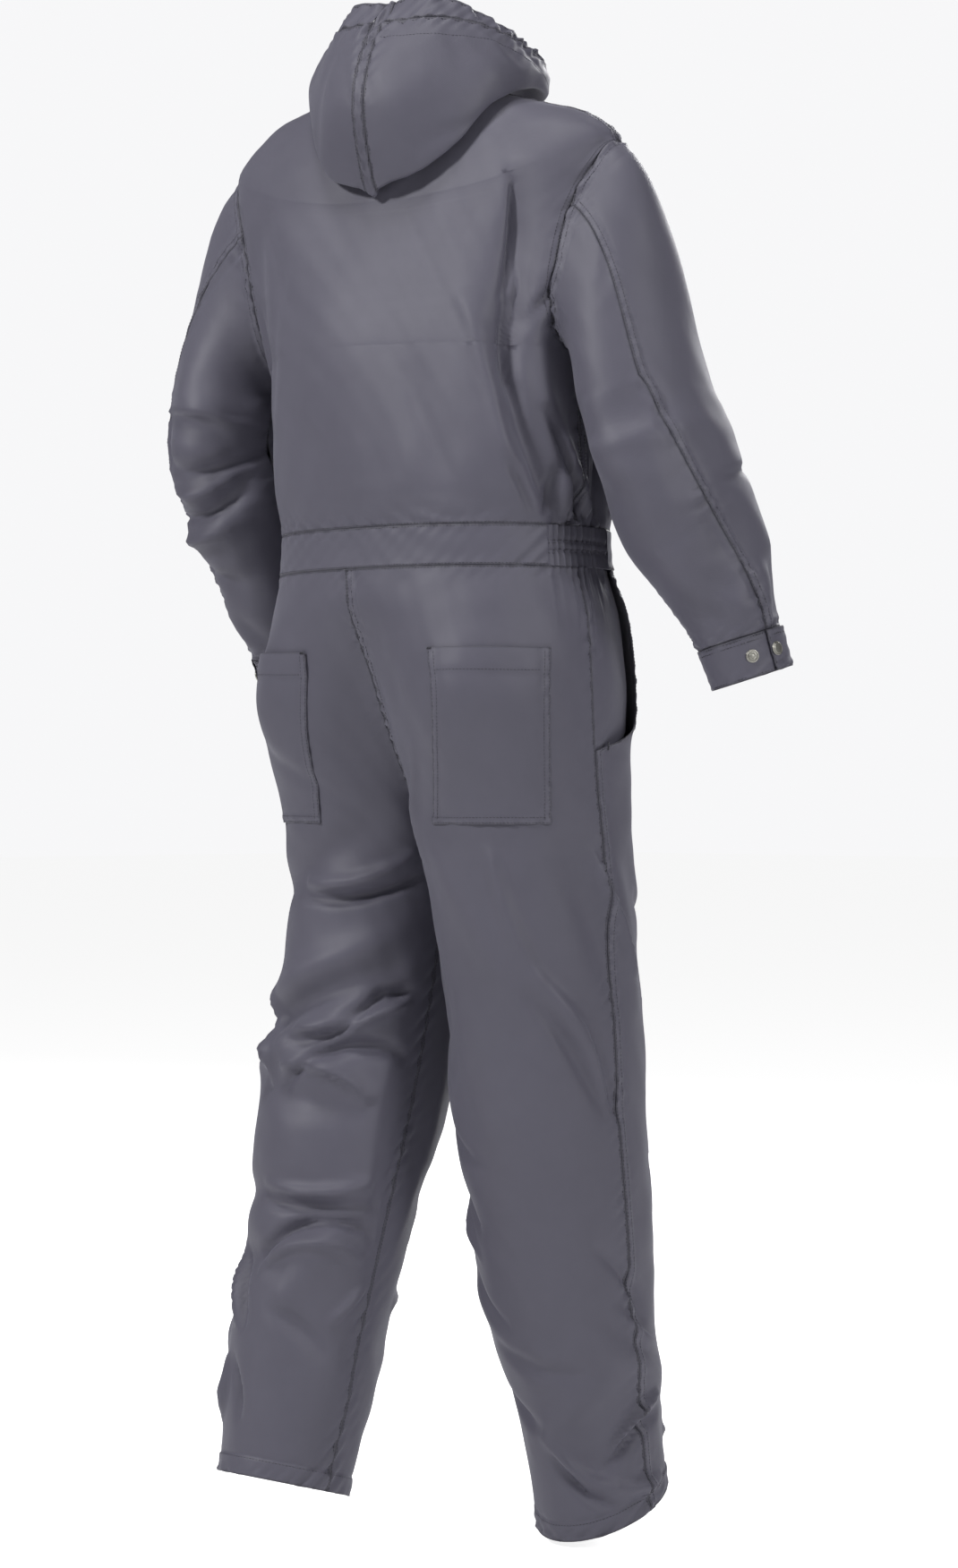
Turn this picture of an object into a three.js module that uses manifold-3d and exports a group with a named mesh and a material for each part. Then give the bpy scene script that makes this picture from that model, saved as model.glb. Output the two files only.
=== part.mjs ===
// Hooded boiler suit, worn and hollow, in millimetres with +Z up.
// It faces -Y, and the wearer's left side is at +X. The origin is the level where the shoulders carry it.
import * as THREE from 'three';
import Module from 'manifold-3d';
import { mergeVertices } from 'three/addons/utils/BufferGeometryUtils.js';

const wasm = await Module();
wasm.setup();

// Driving sizes. Heights are above the ground that the wearer stands on.
const HELD_HEIGHT = 1560;
const WAIST_TOP = 1091;
const WAIST_BOTTOM = 1048;
const CROTCH_HEIGHT = 745;
const CROTCH_Y = -6;
const WALL = 2.2;
const SEAM_PULL = 0.17;
const ZIP_HALF_WIDTH = 12;
const SHOULDER_TURN = 12;
const SHOULDER_SHIFT = [10, 14];
const LEFT_SHOULDER_LIFT = 19;
const ARMHOLE_HALF_ANGLE = 28;
const LEG_BLEND_TOP = 930;
const DEGREE = Math.PI / 180;

const CLOTH = new THREE.MeshStandardMaterial({ color: 0x5f5e6a, roughness: 0.75, metalness: 0 });
const ZIP_TAPE = new THREE.MeshStandardMaterial({ color: 0x4c4b56, roughness: 0.85, metalness: 0 });
const SNAP_METAL = new THREE.MeshStandardMaterial({ color: 0xa09e94, roughness: 0.38, metalness: 0.9 });
const ZIP_METAL = new THREE.MeshStandardMaterial({ color: 0x8d8b86, roughness: 0.35, metalness: 0.9 });

// Small helpers for numbers and for tables with named columns
const lerp = (a, b, part) => a + (b - a) * part;
const clamp = (value, low, high) => Math.max(low, Math.min(high, value));
const smooth = (part) => {
  const p = clamp(part, 0, 1);
  return p * p * (3 - 2 * p);
};
const powered = (value, power) => Math.sign(value) * Math.abs(value) ** power;
const range = (count) => Array.from({ length: count }, (_, k) => k);

function table(columns, rows) {
  return rows.map((row) => Object.fromEntries(columns.map((name, k) => [name, row[k]])));
}

// A smooth curve through a table's rows, read at one value of its first column
function readTable(rows, key, value) {
  const rising = rows[rows.length - 1][key] > rows[0][key];
  const list = rising ? rows : [...rows].reverse();
  const at = clamp(value, list[0][key], list[list.length - 1][key]);
  let k = 0;
  while (k < list.length - 2 && at > list[k + 1][key]) k += 1;
  const span = list[k + 1][key] - list[k][key];
  const part = (at - list[k][key]) / span;
  const result = {};
  for (const name of Object.keys(list[0])) {
    const slope = (m) => {
      const before = list[Math.max(m - 1, 0)];
      const after = list[Math.min(m + 1, list.length - 1)];
      return (after[name] - before[name]) / (after[key] - before[key]);
    };
    const a = list[k][name];
    const b = list[k + 1][name];
    const p2 = part * part;
    const p3 = p2 * part;
    result[name] = a * (2 * p3 - 3 * p2 + 1) + b * (3 * p2 - 2 * p3)
      + span * (slope(k) * (p3 - 2 * p2 + part) + slope(k + 1) * (p3 - p2));
  }
  return result;
}

// Soft folds: each runs from one place to another, with a width and a height, below zero for a trough
const FOLD_COLUMNS = ['from', 'fromHeight', 'to', 'toHeight', 'width', 'height'];

function relief(folds, place, height, scale) {
  let sum = 0;
  for (const fold of folds) {
    const runX = (fold.to - fold.from) * scale;
    const runZ = fold.toHeight - fold.fromHeight;
    const dx = (place - fold.from) * scale;
    const dz = height - fold.fromHeight;
    const along = clamp((dx * runX + dz * runZ) / (runX * runX + runZ * runZ), 0, 1);
    const away = Math.hypot(dx - runX * along, dz - runZ * along) / fold.width;
    if (away < 3) sum += fold.height * Math.exp(-away * away) * (0.35 + 0.65 * Math.sin(Math.PI * along));
  }
  return sum;
}

// Rings of the bodice: level 0 waist, 1 underarm, 2 shoulder tips, 3 neckline
const BODICE_RINGS = table(
  ['level', 'side', 'sideHeight', 'back', 'backHeight', 'front', 'frontHeight', 'square'],
  [
    [0.0, 195, 1091, 144, 1091, 138, 1091, 2.3],
    [0.3, 200, 1140, 150, 1142, 144, 1142, 2.35],
    [0.65, 196, 1208, 147, 1212, 142, 1210, 2.35],
    [1.0, 197, 1275, 137, 1282, 134, 1280, 2.3],
    [1.5, 222, 1390, 112, 1366, 116, 1362, 2.25],
    [2.0, 240, 1495, 92, 1440, 90, 1434, 2.2],
    [2.25, 205, 1526, 85, 1474, 86, 1458, 2.2],
    [2.5, 160, 1541, 77, 1508, 80, 1482, 2.15],
    [3.0, 78, 1564, 58, 1572, 66, 1508, 2.0],
  ],
);

// Folds of the bodice: place in degrees from centre back, minus toward the wearer's right
const BODICE_FOLDS = table(FOLD_COLUMNS, [
  [-44, 1446, -50, 1310, 20, -10],
  [-50, 1310, -78, 1105, 18, -11],
  [-60, 1420, -64, 1300, 18, 8],
  [-64, 1300, -88, 1110, 18, 9],
  [-26, 1390, -52, 1200, 26, 6],
  [-52, 1200, -72, 1100, 20, 6],
  [-12, 1330, -34, 1130, 28, -5],
  [12, 1420, 6, 1180, 34, 4],
  [46, 1440, 54, 1280, 22, -8],
  [54, 1280, 80, 1108, 20, -9],
  [66, 1240, 84, 1112, 22, 4],
  [120, 1400, 104, 1130, 24, -8],
  [138, 1330, 118, 1110, 24, 6],
  [-122, 1410, -102, 1125, 24, -8],
  [-142, 1350, -116, 1108, 24, 6],
]);

function carried(x, y, height) {
  const part = smooth((height - 1110) / 290);
  const turn = SHOULDER_TURN * DEGREE * part;
  return new THREE.Vector3(
    x * Math.cos(turn) - y * Math.sin(turn) + SHOULDER_SHIFT[0] * part - 2 * (1 - part),
    x * Math.sin(turn) + y * Math.cos(turn) + SHOULDER_SHIFT[1] * part - 2 * (1 - part),
    height - HELD_HEIGHT,
  );
}

function bodicePoint(degrees, level) {
  const ring = readTable(BODICE_RINGS, 'level', level);
  const sine = Math.sin(degrees * DEGREE);
  const cosine = Math.cos(degrees * DEGREE);
  const isBack = cosine > 0;
  const lift = level > 2 && level < 3 && sine > 0
    ? LEFT_SHOULDER_LIFT * (Math.sin((level - 2) * Math.PI) * sine) ** 2 : 0;
  const height = lift + lerp(ring.sideHeight, isBack ? ring.backHeight : ring.frontHeight, cosine * cosine);
  const x = ring.side * powered(sine, 2 / ring.square);
  const y = (isBack ? ring.back : ring.front) * powered(cosine, 2 / ring.square);
  const fade = smooth((2.25 - level) / 0.3) * smooth(level / 0.12);
  const out = fade * relief(BODICE_FOLDS, degrees, height, 3) / Math.hypot(x, y);
  return carried(x * (1 + out), y * (1 + out), height);
}

function zipDegrees(side, square) {
  return 180 - Math.asin((ZIP_HALF_WIDTH / side) ** (square / 2)) / DEGREE;
}

const SLEEVE_STEPS = 16;
const armholeTurns = range(9).map((k) => k * 180 / 8);
const armholeLevel = (turn) => 1 + (1 + Math.cos(turn * DEGREE)) / 2;
const armholeGap = (level) => {
  const part = clamp(level - 1, 0, 1);
  return ARMHOLE_HALF_ANGLE * Math.sqrt(4 * part * (1 - part));
};
const BODICE_LEVELS = [
  ...range(6).map((k) => k / 6),
  ...armholeTurns.slice().reverse().map(armholeLevel),
  ...range(5).map((k) => 2 + (k + 1) / 5),
];
const HALF_COLUMNS = 9;
const STRIP_PART = 0.056;
const halfParts = [0, ...range(HALF_COLUMNS).map((k) => lerp(STRIP_PART, 1, k / (HALF_COLUMNS - 1)))];

function backBodiceGrid() {
  const parts = [...halfParts.slice(1).reverse().map((part) => -part), ...halfParts];
  return BODICE_LEVELS.map((level) => parts.map((part) => bodicePoint(part * (90 - armholeGap(level)), level)));
}

function frontBodiceGrid(side) {
  return BODICE_LEVELS.map((level) => {
    const ring = readTable(BODICE_RINGS, 'level', level);
    const end = zipDegrees(ring.side, ring.square);
    return range(10).map((k) => bodicePoint(side * lerp(90 + armholeGap(level), end, k / 9), level));
  });
}

// Trousers: rings round the pelvis, the seat and front seams, and rings round each leg
const PELVIS_RINGS = table(
  ['height', 'centreX', 'centreY', 'side', 'back', 'front', 'square'],
  [
    [1091, -2, -2, 195, 144, 138, 2.3],
    [1048, -2, -2, 198, 146, 141, 2.3],
    [1000, -5, -4, 206, 158, 148, 2.35],
    [940, -5, -3, 213, 174, 153, 2.4],
    [865, -4, -3, 216, 180, 156, 2.4],
    [800, -3, -5, 215, 174, 152, 2.4],
    [745, 0, -8, 210, 164, 146, 2.4],
  ],
);
const SEAM_CURVES = table(
  ['height', 'seat', 'front'],
  [
    [1048, 144, -143], [1010, 144, -150], [976, 130, -152], [940, 112, -150], [900, 95, -143],
    [860, 76, -127], [820, 54, -100], [785, 30, -62], [762, 12, -30], [745, CROTCH_Y, CROTCH_Y],
  ],
);
const LEG_COLUMNS = ['height', 'x', 'y', 'wide', 'deep', 'tilt'];
const LEGS = {
  right: table(LEG_COLUMNS, [
    [1048, -104, -20, 106, 116, 0], [745, -106, -24, 105, 118, 0], [703, -107, -30, 104, 118, 0],
    [600, -109, -40, 104, 112, 0], [470, -110, -52, 101, 109, 0], [338, -109, -74, 95, 101, 0.03],
    [224, -108, -94, 84, 90, 0.1], [155, -107, -117, 76, 80, 0.2], [90, -106, -130, 71, 74, 0.34],
    [38, -105, -140, 70, 72, 0.44],
  ]),
  left: table(LEG_COLUMNS, [
    [1048, 103, -10, 104, 112, 0], [745, 103, -8, 101, 110, 0], [703, 100, -5, 98, 107, 0],
    [600, 101, 8, 97, 106, 0], [470, 105, 34, 99, 108, 0], [338, 106, 69, 88, 92, -0.06],
    [224, 109, 98, 80, 86, -0.14], [157, 109, 111, 76, 80, -0.2], [100, 111, 124, 70, 73, -0.26],
    [66, 112, 131, 69, 72, -0.28],
  ]),
};

// Folds of each leg: place is the part of the way round, 0 at the inseam, 0.25 back, 0.5 outside
const LEG_FOLDS = {
  right: table(FOLD_COLUMNS, [
    [0.16, 800, 0.42, 540, 26, 7],
    [0.10, 700, 0.22, 470, 30, -5],
    [0.50, 780, 0.56, 590, 20, 8],
    [0.44, 760, 0.50, 600, 18, -6],
    [0.05, 610, 0.16, 520, 20, -6],
    [0.30, 90, 0.52, 150, 20, -8],
    [0.22, 130, 0.44, 190, 18, 8],
    [0.40, 230, 0.60, 180, 20, 7],
    [0.02, 420, 0.20, 350, 22, -6],
    [0.04, 300, 0.22, 250, 20, 5],
    [0.62, 640, 0.86, 560, 24, -8],
    [0.64, 480, 0.90, 430, 24, -7],
    [0.66, 300, 0.88, 240, 22, -7],
  ]),
  left: table(FOLD_COLUMNS, [
    [0.40, 690, 0.10, 780, 20, -9],
    [0.42, 540, 0.10, 620, 17, -14],
    [0.40, 580, 0.08, 660, 18, 9],
    [0.40, 510, 0.14, 575, 16, 9],
    [0.34, 500, 0.12, 470, 18, -9],
    [0.46, 580, 0.38, 500, 16, 8],
    [0.44, 370, 0.16, 385, 18, -7],
    [0.42, 310, 0.18, 300, 20, -9],
    [0.44, 250, 0.40, 190, 16, 7],
    [0.06, 400, 0.20, 250, 24, 7],
    [0.62, 620, 0.88, 540, 24, -8],
    [0.60, 440, 0.90, 380, 24, -8],
    [0.64, 250, 0.86, 200, 22, 6],
  ]),
};
const SEAT_VALLEY = 0.24;

// How far a level has left the ring round the pelvis for the ring round a leg
function legBlend(height) {
  return smooth((LEG_BLEND_TOP - height) / (LEG_BLEND_TOP - CROTCH_HEIGHT));
}

function trouserPoint(side, place, rowHeight) {
  const name = side < 0 ? 'right' : 'left';
  const leg = readTable(LEGS[name], 'height', rowHeight);
  const pelvis = readTable(PELVIS_RINGS, 'height', rowHeight);
  const legPart = legBlend(rowHeight);
  const half = place * Math.PI;
  const half2 = 2 * half;
  const depth = Math.cos(half) > 0 ? pelvis.back : pelvis.front;
  const power = 2 / pelvis.square;
  const pelvisX = pelvis.centreX + side * pelvis.side * powered(Math.sin(half), power);
  const pelvisY = pelvis.centreY + depth * powered(Math.cos(half), power);
  let x = lerp(pelvisX, leg.x - side * leg.wide * Math.cos(half2), legPart);
  let y = lerp(pelvisY, leg.y + leg.deep * Math.sin(half2), legPart);
  if (rowHeight >= CROTCH_HEIGHT) {
    const seam = readTable(SEAM_CURVES, 'height', rowHeight);
    const inner = leg.x - side * leg.wide;
    const startY = lerp(pelvis.centreY + pelvis.back, leg.y, legPart);
    const endY = lerp(pelvis.centreY - pelvis.front, leg.y, legPart);
    const seamX = pelvis.centreX;
    const startPull = Math.max(0, 1 - place / SEAT_VALLEY) ** 1.6;
    const endPull = Math.max(0, 1 - (1 - place) / SEAT_VALLEY) ** 1.6;
    x += (seamX - lerp(pelvis.centreX, inner, legPart)) * (startPull + endPull);
    y += (seam.seat - startY) * startPull + (seam.front - endY) * endPull;
  } else {
    const clear = 1.5 + 0.05 * (CROTCH_HEIGHT - rowHeight);
    const near = Math.max(0, 1 - Math.min(place, 1 - place) / 0.2);
    const crotchPull = smooth(1 - (CROTCH_HEIGHT - rowHeight) / 60) * near ** 1.6;
    y += (CROTCH_Y - leg.y) * crotchPull;
    x = side * Math.max(side * x, clear);
  }
  const centreX = lerp(pelvis.centreX, leg.x, legPart);
  const centreY = lerp(pelvis.centreY, leg.y, legPart);
  const fade = smooth((1035 - rowHeight) / 60) * smooth(Math.min(place, 1 - place) / 0.07);
  const out = fade * relief(LEG_FOLDS[name], place, rowHeight, 690) / Math.hypot(x - centreX, y - centreY);
  const height = rowHeight - leg.tilt * (y - leg.y);
  return new THREE.Vector3(x + (x - centreX) * out, y + (y - centreY) * out, height - HELD_HEIGHT);
}

// Rows shared by both halves down to the crotch, with rows at the back pockets' top and bottom
const POCKET_TOP = 962;
const POCKET_BOTTOM = 779;
const topRows = range(4).map((k) => lerp(WAIST_BOTTOM, POCKET_TOP, k / 4));
const pocketRows = range(7).map((k) => lerp(POCKET_TOP, POCKET_BOTTOM, k / 7));
const crotchRows = [POCKET_BOTTOM, 765, 754, CROTCH_HEIGHT];
const SEAT_ROWS = [...topRows, ...pocketRows, ...crotchRows];
const FLY_END = pocketRows[3];
const OPENING_END = pocketRows[4];
const FLY_STEP = 2;
const LEG_ROW_COUNT = 16;

function trouserRows(side) {
  const leg = side < 0 ? LEGS.right : LEGS.left;
  const hem = leg[leg.length - 1].height;
  return [...SEAT_ROWS, ...range(LEG_ROW_COUNT).map((k) => lerp(CROTCH_HEIGHT, hem, (k + 1) / LEG_ROW_COUNT))];
}

// Back panel columns hold the pocket's edges at 35.5 and 75 degrees round
const POCKET_COLUMNS = [3, 9];
const POCKET_ROWS = [topRows.length, topRows.length + pocketRows.length];
const backPlaces = [
  ...range(3).map((k) => lerp(0, 35.5 / 180, k / 3)),
  ...range(6).map((k) => lerp(35.5 / 180, 75 / 180, k / 6)),
  ...range(3).map((k) => lerp(75 / 180, 0.5, k / 2)),
];

function trouserBackGrid(side) {
  return trouserRows(side).map((height) => backPlaces.map((place) => trouserPoint(side, place, height)));
}

// The front panel's side edge leaves the side seam round the slanted pocket opening
const SIDE_OPENING = table(
  ['height', 'cut'],
  [[1048, 0.14], [1000, 0.16], [950, 0.19], [910, 0.19], [885, 0.15], [868, 0.07], [857, 0]],
);
const FRONT_COLUMNS = 8;
const GAPE = 4;

function openingCut(height) {
  return height > OPENING_END ? Math.max(0, readTable(SIDE_OPENING, 'height', height).cut) : 0;
}

function frontRowHeights(side) {
  return [...trouserRows(side), FLY_END - FLY_STEP].sort((a, b) => b - a);
}

function frontEndPlace(height) {
  const pelvis = readTable(PELVIS_RINGS, 'height', height);
  return height > FLY_END - FLY_STEP / 2 ? zipDegrees(pelvis.side, pelvis.square) / 180 : 1;
}

function pushedOut(point, centreX, centreY, amount) {
  const away = Math.hypot(point.x - centreX, point.y - centreY);
  const part = amount / away;
  return point.clone().add(new THREE.Vector3((point.x - centreX) * part, (point.y - centreY) * part, 0));
}

function trouserFrontGrid(side) {
  return frontRowHeights(side).map((height) => {
    const start = 0.5 + openingCut(height);
    const end = frontEndPlace(height);
    const open = smooth((WAIST_BOTTOM - height) / 50) * smooth(openingCut(height) / 0.12);
    return range(FRONT_COLUMNS + 1).map((k) => {
      const place = lerp(start, end, k / FRONT_COLUMNS);
      const lip = GAPE * open * Math.max(0, 1 - (place - start) / 0.14) ** 2;
      return pushedOut(trouserPoint(side, place, height), 0, 0, lip);
    });
  });
}

// The pocket facing starts flush at the side seam and dips under the front panel
function facingGrid(side) {
  const last = OPENING_END + 8;
  const rows = [...SEAT_ROWS.filter((height) => height > OPENING_END + 1), last];
  return rows.map((height) => range(6).map((k) => {
    const reach = openingCut(height) + 0.04;
    const place = 0.5 + reach * k / 5;
    const dip = lerp(height === last ? 5 : 0, 7.5, smooth(k / 3));
    return pushedOut(trouserPoint(side, place, height), 0, 0, -dip);
  }));
}

// Waistband pieces
const ELASTIC_START = 77;
const ELASTIC_END = 112;
const ELASTIC_GATHERS = 14;
const GATHER_HEIGHT = 1.6;

function waistPoint(degrees, height, out = 0) {
  const ring = readTable(PELVIS_RINGS, 'height', height);
  const sine = Math.sin(degrees * DEGREE);
  const cosine = Math.cos(degrees * DEGREE);
  const x = ring.side * powered(sine, 2 / ring.square);
  const y = (cosine > 0 ? ring.back : ring.front) * powered(cosine, 2 / ring.square);
  const grow = 1 + out / Math.hypot(x, y);
  return new THREE.Vector3(ring.centreX + x * grow, ring.centreY + y * grow, height - HELD_HEIGHT);
}

function bandGrid(start, end, columns, wave = () => 0) {
  return [WAIST_TOP, WAIST_BOTTOM].map((height) => (
    range(columns + 1).map((k) => waistPoint(lerp(start, end, k / columns), height, wave(k)))
  ));
}

// The way out of the plain ring, which the gathers keep too
function bandNormals(start, end, columns) {
  return [WAIST_TOP, WAIST_BOTTOM].map((height) => range(columns + 1).map((k) => {
    const degrees = lerp(start, end, k / columns);
    const along = waistPoint(degrees + 1, height).sub(waistPoint(degrees - 1, height));
    return new THREE.Vector3(-along.y, along.x, 0).normalize();
  }));
}

// Sleeves: rings along each arm below the cap, then the cuff
const ARM_COLUMNS = ['part', 'x', 'y', 'height', 'wide', 'deep', 'roll'];
const ARMS = {
  right: table(ARM_COLUMNS, [
    [0, -262, -38, 1226, 60, 83, 26],
    [0.12, -273, -40, 1196, 61, 85, 34],
    [0.4, -291, -55, 1124, 66, 85, 45],
    [0.7, -313, -82, 1050, 58, 70, 53],
    [0.88, -326, -97, 1002, 48, 54, 59],
    [1, -333, -104, 972, 43, 46, 63],
  ]),
  left: table(ARM_COLUMNS, [
    [0, 264, 68, 1230, 58, 84, 20],
    [0.12, 267, 68, 1200, 59, 86, 22],
    [0.4, 265, 42, 1128, 59, 77, 24],
    [0.7, 263, 17, 1058, 52, 66, 26],
    [0.88, 262, -3, 1008, 45, 53, 28],
    [1, 261, -15, 975, 42, 45, 30],
  ]),
};
const ARM_FOLDS = {
  right: table(FOLD_COLUMNS, [
    [40, 0.05, 150, 0.16, 0.05, -6],
    [30, 0.22, 140, 0.14, 0.05, 6],
    [60, 0.42, 160, 0.30, 0.05, -5],
    [20, 0.55, 70, 0.95, 0.07, 5],
    [90, 0.60, 150, 0.85, 0.06, -5],
    [280, 0.10, 200, 0.22, 0.06, -6],
  ]),
  left: table(FOLD_COLUMNS, [
    [60, 0.02, 170, 0.10, 0.05, -9],
    [60, 0.14, 170, 0.12, 0.04, 8],
    [60, 0.26, 160, 0.16, 0.05, -8],
    [50, 0.40, 150, 0.50, 0.06, 6],
    [70, 0.62, 140, 0.80, 0.06, -5],
    [280, 0.10, 200, 0.22, 0.06, -6],
  ]),
};

function armFrame(name, part) {
  const arm = readTable(ARMS[name], 'part', part);
  const before = readTable(ARMS[name], 'part', part - 0.02);
  const after = readTable(ARMS[name], 'part', part + 0.02);
  const along = new THREE.Vector3(after.x - before.x, after.y - before.y, after.height - before.height).normalize();
  const outward = new THREE.Vector3(Math.sign(arm.x), 0, 0);
  outward.addScaledVector(along, -outward.dot(along)).normalize();
  const rear = new THREE.Vector3(0, 1, 0);
  rear.addScaledVector(along, -rear.dot(along)).addScaledVector(outward, -rear.dot(outward)).normalize();
  const centre = new THREE.Vector3(arm.x, arm.y, arm.height - HELD_HEIGHT);
  return { arm, along, outward, rear, centre };
}

function armRingPoint(name, turn, part) {
  const { arm, outward, rear, centre } = armFrame(name, part);
  const angle = (turn - arm.roll) * DEGREE;
  const turns = [turn, turn - 360];
  const lift = turns.reduce((sum, place) => sum + relief(ARM_FOLDS[name], place, part, 0.0011), 0);
  const grow = 1 + lift / arm.deep;
  return centre.clone()
    .addScaledVector(outward, arm.wide * Math.cos(angle) * grow)
    .addScaledVector(rear, arm.deep * Math.sin(angle) * grow);
}

function armholePoint(side, turn) {
  const level = armholeLevel(turn);
  const gap = armholeGap(level);
  return bodicePoint(side * (turn <= 180 ? 90 - gap : 90 + gap), level);
}

const CAP_SPREAD = { right: 0.8, left: 1.0 };
const CAP_ROWS = 5;
const ARM_ROWS = 9;

// The sleeve cap leaves the armhole outward and bends down into the first ring of the arm
function sleeveColumn(side, turn) {
  const name = side < 0 ? 'right' : 'left';
  const start = armholePoint(side, turn);
  const end = armRingPoint(name, turn, 0);
  const span = start.distanceTo(end);
  const top = (1 + Math.cos(turn * DEGREE)) / 2;
  const out = lerp(0.8, CAP_SPREAD[name], top);
  const leave = new THREE.Vector3(side * out, 0, -lerp(0.6, 0.5, top)).multiplyScalar(span);
  const arrive = armFrame(name, 0).along.clone().multiplyScalar(span);
  const cap = range(CAP_ROWS).map((k) => {
    const p = k / CAP_ROWS;
    const p2 = p * p;
    const p3 = p2 * p;
    return start.clone().multiplyScalar(2 * p3 - 3 * p2 + 1)
      .addScaledVector(end, 3 * p2 - 2 * p3)
      .addScaledVector(leave, p3 - 2 * p2 + p)
      .addScaledVector(arrive, p3 - p2);
  });
  return [...cap, ...range(ARM_ROWS + 1).map((k) => armRingPoint(name, turn, k / ARM_ROWS))];
}

function sleeveGrid(side, firstStep, lastStep) {
  const columns = range(lastStep - firstStep + 1).map((k) => {
    const turn = ((firstStep + k) * 360 / SLEEVE_STEPS + 360) % 360;
    return sleeveColumn(side, turn);
  });
  return columns[0].map((_, row) => columns.map((column) => column[row]));
}

// The cuff is a band that starts at the slit, goes round and laps over its own start
const CUFF_DEPTH = 43;
const CUFF_STEPS = 20;
const CUFF_LAP_STEPS = 2;
const CUFF_LAP_LIFT = 3.4;
const CUFF_EDGE_TURN = 72;

function cuffGrid(side) {
  const name = side < 0 ? 'right' : 'left';
  const { arm, along, outward, rear, centre } = armFrame(name, 1);
  const steps = CUFF_STEPS + CUFF_LAP_STEPS;
  return range(3).map((row) => range(steps + 1).map((k) => {
    const angle = (CUFF_EDGE_TURN - arm.roll + (k - steps) * 360 / CUFF_STEPS) * DEGREE;
    const lift = 1.2 + CUFF_LAP_LIFT * smooth((k - CUFF_STEPS + 2) / 2);
    const flare = 1 - 0.03 * row;
    return centre.clone()
      .addScaledVector(outward, (arm.wide + lift) * flare * Math.cos(angle))
      .addScaledVector(rear, (arm.deep + lift) * flare * Math.sin(angle))
      .addScaledVector(along, 0.5 + CUFF_DEPTH * row / 2);
  }));
}

// Hood, down on the back: profile points at angles round the neck, as distance from it and height
const HOOD_COLUMNS = [
  'angle', 'riseR', 'riseH', 'underR', 'underH', 'foldR', 'foldH', 'bulgeR', 'bulgeH', 'upperR', 'upperH',
  'rimR', 'rimH',
];
const HOOD_PROFILES = table(HOOD_COLUMNS, [
  [0, 64, 1596, 92, 1530, 102, 1444, 131, 1533, 108, 1606, 66, 1653],
  [30, 68, 1596, 102, 1538, 118, 1466, 133, 1540, 116, 1608, 84, 1658],
  [47, 73, 1594, 108, 1550, 129, 1493, 135, 1550, 118, 1610, 90, 1655],
  [65, 79, 1592, 112, 1570, 133, 1538, 137, 1568, 121, 1610, 95, 1644],
  [95, 84, 1588, 108, 1583, 125, 1563, 131, 1581, 124, 1602, 114, 1618],
  [123, 84, 1572, 104, 1576, 126, 1562, 132, 1574, 131, 1584, 127, 1593],
  [150, 78, 1545, 88, 1552, 98, 1548, 106, 1553, 108, 1560, 107, 1567],
  [180, 71, 1518, 74, 1522, 78, 1525, 81, 1532, 82, 1540, 82, 1548],
]);
const HOOD_LEFT_EASE = 0.93;
const STRIP_EASE_END = 26;
const STRIP_EASE_SPAN = 18;
const HOOD_PARTS = [0, 0.8, 1.4, 2.2, 2.8, 3.1, 3.6, 4.1, 4.7, 5.4];
const RIM_START = 5.4;
const RIM_GATHERS = 10;

// One place of the hood, with the profile read from 0 at the neck seam to 6 at the rim.
// Near the centre back the directions close up, so that the strip keeps its width.
function hoodPoint(bodiceDegrees, part, out = 0) {
  const seam = bodicePoint(bodiceDegrees, 3);
  const centre = carried(0, 0, HELD_HEIGHT);
  const away = Math.hypot(seam.x - centre.x, seam.y - centre.y);
  const turn = SHOULDER_TURN * DEGREE;
  const bearing = Math.atan2(seam.x - centre.x, seam.y - centre.y) + turn;
  const angle = Math.abs(bearing) / DEGREE;
  const row = readTable(HOOD_PROFILES, 'angle', angle);
  const ease = bodiceDegrees > 0 ? lerp(1, HOOD_LEFT_EASE, smooth(angle / 50) * smooth((160 - angle) / 40)) : 1;
  const lift = bodiceDegrees > 0
    ? LEFT_SHOULDER_LIFT * smooth((angle - 30) / 30) * smooth((150 - angle) / 30) : 0;
  const points = table(['at', 'r', 'h'], [
    [0, away, seam.z + HELD_HEIGHT],
    [1, row.riseR, row.riseH],
    [2, row.underR * ease, row.underH + lift],
    [3, row.foldR * ease, row.foldH + lift],
    [4, row.bulgeR * ease, row.bulgeH + lift * 0.6],
    [5, row.upperR * ease, row.upperH],
    [6, row.rimR * ease, row.rimH],
  ]);
  const read = readTable(points, 'at', part);
  const reach = read.r + out;
  const narrowed = lerp(1, Math.min(1, away / reach), smooth((STRIP_EASE_END - angle) / STRIP_EASE_SPAN));
  const way = bearing * narrowed - turn;
  return new THREE.Vector3(
    centre.x + Math.sin(way) * reach,
    centre.y + Math.cos(way) * reach,
    read.h - HELD_HEIGHT,
  );
}

const neckRing = BODICE_RINGS[BODICE_RINGS.length - 1];
const frontNeckEnd = zipDegrees(neckRing.side, neckRing.square);
const hoodAngles = [
  ...halfParts.slice(1).map((part) => part * 90),
  ...range(10).map((k) => lerp(90, frontNeckEnd, (k + 1) / 10)),
];

function hoodGrid(side) {
  return HOOD_PARTS.map((part) => hoodAngles.map((angle) => hoodPoint(side * angle, part)));
}

function hoodStripGrid() {
  const angles = [-STRIP_PART * 90, 0, STRIP_PART * 90];
  return [...HOOD_PARTS, 6].map((part) => angles.map((angle) => hoodPoint(angle, part)));
}

// The gathered casing round the hood's opening starts on the straight edges of the hood's last row
const RIM_STEPS = 3;

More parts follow.
